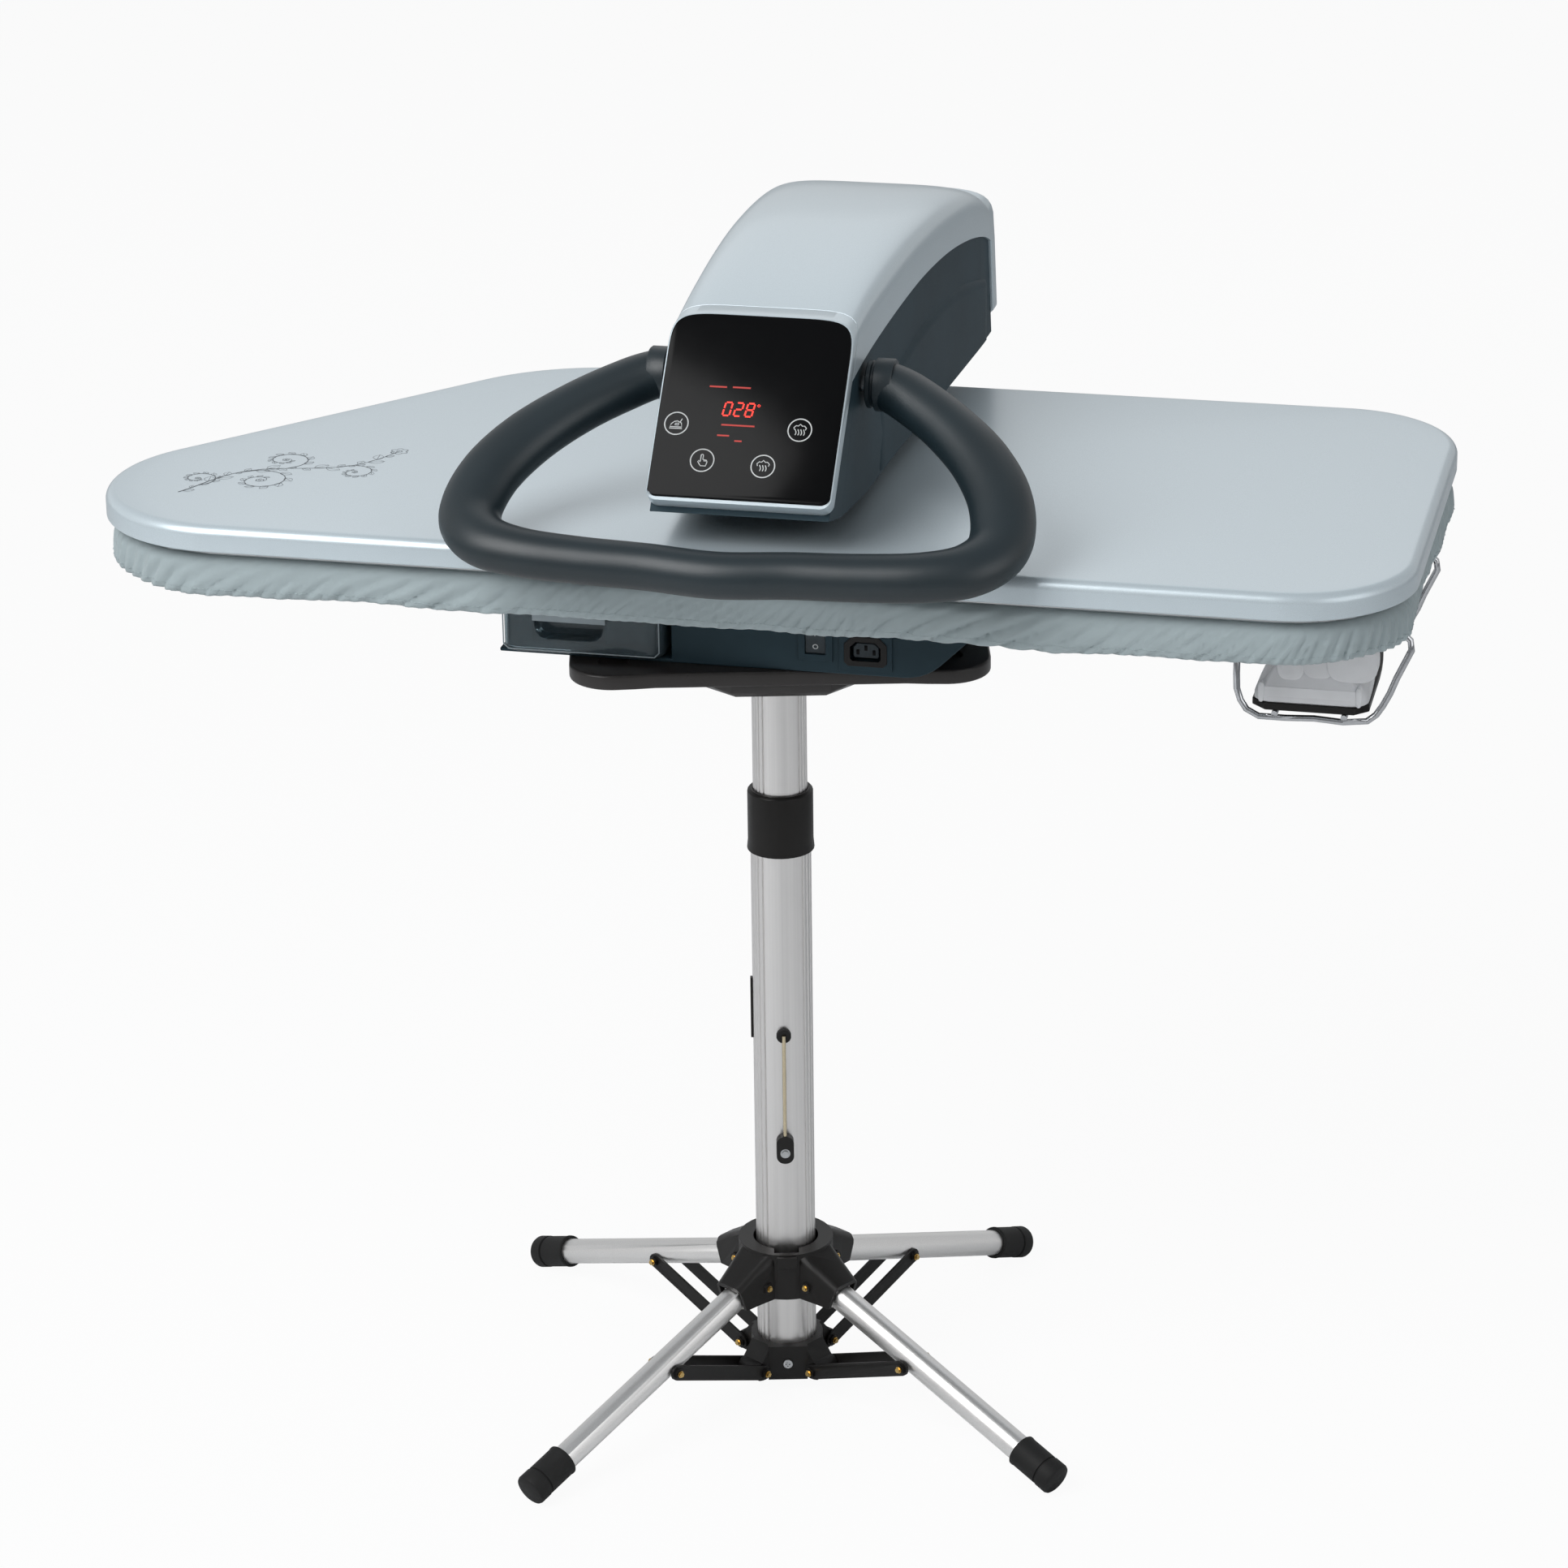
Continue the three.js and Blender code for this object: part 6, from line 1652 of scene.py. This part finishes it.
class PRESS_OT_scroll(bpy.types.Operator):
    """Prints a plain leafy scroll on the left end of the shell"""

    bl_idname = "press.scroll"
    bl_label = "Printed scroll"

    def execute(self, context):
        self.strokes = []
        self.add([self.stem_at(i / 60) for i in range(61)], 0.00042, 0.00022)
        for share, size, side, turns in ((0.10, 0.017, 1, 1.2), (0.30, 0.026, -1, 1.4),
                                         (0.50, 0.021, 1, 1.3), (0.70, 0.018, -1, 1.2)):
            self.curl(share, size, side, turns)
        for k in range(22):
            share = 0.02 + 0.045 * k
            here = self.stem_at(share)
            self.leaf(here, self.stem_at(share + 0.01), 0.6 if k % 2 else -0.6,
                      0.0095 + 0.004 * math.sin(5 * k))
        self.flower(*self.stem_at(1.0), 0.0072)
        self.print_strokes()
        return {"FINISHED"}

    def stem_at(self, share):
        return -0.094 + 0.186 * share, 0.013 * math.sin(7.4 * share - 0.9)

    def add(self, line, thick, thin):
        last = len(line) - 1
        self.strokes.append([(x, y, thick + (thin - thick) * i / last)
                             for i, (x, y) in enumerate(line)])

    def curl(self, share, size, side, turns):
        """A tightening curl off the stem with leaves along its back and a flower in its eye."""
        x, y = self.stem_at(share)
        centre = (x + size * 0.35, y + side * size)
        line = []
        steps = 54
        for i in range(steps + 1):
            t = i / steps
            angle = side * (-math.pi / 2 + 2 * math.pi * turns * t)
            radius = size * (1 - 0.86 * t ** 0.8)
            line.append((centre[0] + radius * math.cos(angle),
                         centre[1] + radius * math.sin(angle)))
        self.add([(x, y), *line[1:]], 0.00040, 0.00018)
        for i in range(3, steps - 8, 4):
            self.leaf(line[i], line[i + 1], -side * 0.55, size * (0.44 - 0.30 * i / steps))
        self.flower(*centre, size * 0.13)

    def leaf(self, spot, ahead, lean, length):
        """Two bowed edges and a vein, at a lean from the line between two spots."""
        x, y = spot
        way = math.atan2(ahead[1] - y, ahead[0] - x) + lean
        for bow in (0.34, 0.0, -0.34):
            line = []
            for i in range(9):
                t = i / 8
                out = length * bow * math.sin(math.pi * t)
                line.append((x + length * t * math.cos(way) - out * math.sin(way),
                             y + length * t * math.sin(way) + out * math.cos(way)))
            self.add(line, 0.00020, 0.00012)

    def flower(self, x, y, radius):
        """Six petals round an eye."""
        line = []
        for i in range(61):
            angle = 2 * math.pi * i / 60
            reach = radius * (0.68 + 0.32 * abs(math.cos(3 * angle)))
            line.append((x + reach * math.cos(angle), y + reach * math.sin(angle)))
        self.add(line, 0.00020, 0.00020)
        self.add(arc_line(x, y, radius * 0.30, steps=14), 0.00020, 0.00020)

    def print_strokes(self):
        """Lays the strokes on the shell's top, a hair above it."""
        centre = BOARD_MIDDLE + Vector((-0.372, -0.090, 0))
        turn = Matrix.Rotation(math.radians(38), 3, "Z")
        points = []
        edges = []
        widths = []
        for line in self.strokes:
            edges.extend((len(points) + i, len(points) + i + 1) for i in range(len(line) - 1))
            points.extend(centre + turn @ Vector((x, y, 0)) for x, y, _ in line)
            widths.extend(width for _, _, width in line)
        mesh = points_mesh("scroll_lines", points, edges, width=widths)
        piece = run_tree("printed_scroll", mesh, stroke_tree(), Flatten=(1, 1, 0.15),
                         Material=finish_of("grey_print"))
        sizes = shared("board")
        for vertex in piece.data.vertices:
            reach = max(abs(vertex.co.x - BOARD_MIDDLE.x) / (sizes.length / 2),
                        abs(vertex.co.y - BOARD_MIDDLE.y) / (sizes.depth / 2))
            vertex.co.z += SHELL_HIGH.z + dome_at(min(1.0, reach)) + 0.00004
        place(piece, "grey_print", BODY_OF["shoe_cover"], "silver")


class PRESS_OT_stage(bpy.types.Operator):
    """Makes the floor, the lamps, the surrounding light and the camera"""

    bl_idname = "press.stage"
    bl_label = "Stage"

    def execute(self, context):
        self.floor()
        self.world()
        settings = shared("stage")
        self.lamp("key_lamp", (-1.6, -2.2, 3.0), 2.4, settings.key)
        self.lamp("fill_lamp", (2.6, -1.4, 1.8), 2.0, settings.fill)
        self.lamp("back_lamp", (-0.4, 2.8, 2.8), 2.6, settings.fill * 0.7)
        self.camera()
        bpy.context.scene.view_settings.view_transform = "Standard"
        return {"FINISHED"}

    def floor(self):
        half = 30.0
        corners = ((-half, -half, 0), (half, -half, 0), (half, half, 0), (-half, half, 0))
        floor = mesh_from("floor", corners, [(0, 1, 2, 3)], None, weld=False)
        material = new_material("pale_floor", (0.86, 0.87, 0.88), 0.0, 0.7)
        tree = material.node_tree
        white = add_node(tree, "ShaderNodeEmission", Strength=1.0)
        white_to_eye(tree, shader_of(material).outputs["BSDF"], white.outputs["Emission"], 0.94,
                     "Material Output")
        floor.data.materials.append(material)

    def world(self):
        """White to the eye; grey overhead and brighter at the horizon in its light."""
        settings = shared("stage")
        world = bpy.data.worlds.new("studio")
        bpy.context.scene.world = world
        world.use_nodes = True
        tree = world.node_tree
        light = tree.nodes["Background"]
        white = add_node(tree, "ShaderNodeBackground", Color=(1, 1, 1, 1), Strength=1.0)
        path = white_to_eye(tree, light.outputs["Background"], white.outputs["Background"], 1.0,
                            "World Output")
        way = add_node(tree, "ShaderNodeTexCoord").outputs["Generated"]
        split = add_node(tree, "ShaderNodeSeparateXYZ", way).outputs
        sky = ramp_between(tree, split["Z"], (0.0, (1.0, 1.0, 1.0)), (0.9, (0.50, 0.53, 0.56)))
        mirrored = add_node(tree, "ShaderNodeMapRange", split["Y"], From_Min=-0.95,
                            From_Max=-0.35, To_Min=settings.mirrored * 0.42,
                            To_Max=settings.mirrored)
        strength = add_node(tree, "ShaderNodeMapRange", path.outputs["Is Glossy Ray"],
                            To_Min=settings.world, To_Max=mirrored.outputs["Result"])
        tree.links.new(sky, light.inputs["Color"])
        tree.links.new(strength.outputs["Result"], light.inputs["Strength"])

    def lamp(self, name, spot, size, power):
        """A square lamp that faces the board."""
        aim = Vector((0.0, -0.02, 0.70))
        data = bpy.data.lights.new(name, "AREA")
        data.shape = "SQUARE"
        data.size = size
        data.energy = power
        lamp = bpy.data.objects.new(name, data)
        bpy.context.scene.collection.objects.link(lamp)
        lamp.location = spot
        lamp.rotation_mode = "QUATERNION"
        lamp.rotation_quaternion = (aim - Vector(spot)).to_track_quat("-Z", "Y")

    def camera(self):
        yaw = math.radians(13.02)
        pitch = math.radians(21.65)
        roll = math.radians(0.71)
        aim = BOARD_MIDDLE + Vector((-0.0038, 0.0, 0.5112))
        right = Vector((math.cos(yaw), math.sin(yaw), 0))
        ahead = Vector((-math.sin(yaw) * math.cos(pitch), math.cos(yaw) * math.cos(pitch),
                        -math.sin(pitch)))
        up = right.cross(ahead)
        turned_right = right * math.cos(roll) - up * math.sin(roll)
        turned_up = right * math.sin(roll) + up * math.cos(roll)
        data = bpy.data.cameras.new("camera")
        data.sensor_width = 36.0
        data.lens = 115.8
        camera = bpy.data.objects.new("camera", data)
        bpy.context.scene.collection.objects.link(camera)
        axes = Matrix((turned_right, turned_up, -ahead)).transposed().to_4x4()
        camera.matrix_world = Matrix.Translation(aim - ahead * shared("stage").distance) @ axes
        bpy.context.scene.camera = camera


class PRESS_PT_panel(bpy.types.Panel):
    """Lists the pieces of the press"""

    bl_idname = "PRESS_PT_panel"
    bl_label = "Press"
    bl_space_type = "VIEW_3D"
    bl_region_type = "UI"
    bl_category = "Press"

    def draw(self, context):
        for operator in OPERATORS:
            self.layout.operator(operator.bl_idname)
        for name in GROUPS:
            column = self.layout.column(heading=name)
            group = shared(name)
            for key in type(group).__annotations__:
                column.prop(group, key)


GROUPS = {
    "board": BoardSizes,
    "head": HeadSizes,
    "stand": StandSizes,
    "colours": FinishColours,
    "stage": StageSettings,
}
OPERATORS = (
    PRESS_OT_pad,
    PRESS_OT_cloth,
    PRESS_OT_shoe,
    PRESS_OT_scroll,
    PRESS_OT_head,
    PRESS_OT_panel,
    PRESS_OT_handle,
    PRESS_OT_base_unit,
    PRESS_OT_column,
    PRESS_OT_folding_base,
    PRESS_OT_iron,
    PRESS_OT_stage,
)


def register():
    for group in GROUPS.values():
        bpy.utils.register_class(group)
    for name, group in GROUPS.items():
        setattr(bpy.types.Scene, "press_" + name, bpy.props.PointerProperty(type=group))
    for operator in OPERATORS:
        bpy.utils.register_class(operator)
    bpy.utils.register_class(PRESS_PT_panel)


def unregister():
    bpy.utils.unregister_class(PRESS_PT_panel)
    for operator in reversed(OPERATORS):
        bpy.utils.unregister_class(operator)
    for name, group in GROUPS.items():
        delattr(bpy.types.Scene, "press_" + name)
        bpy.utils.unregister_class(group)


def main():
    register()
    for operator in OPERATORS:
        group, name = operator.bl_idname.split(".")
        getattr(getattr(bpy.ops, group), name)()


if __name__ == "__main__":
    main()
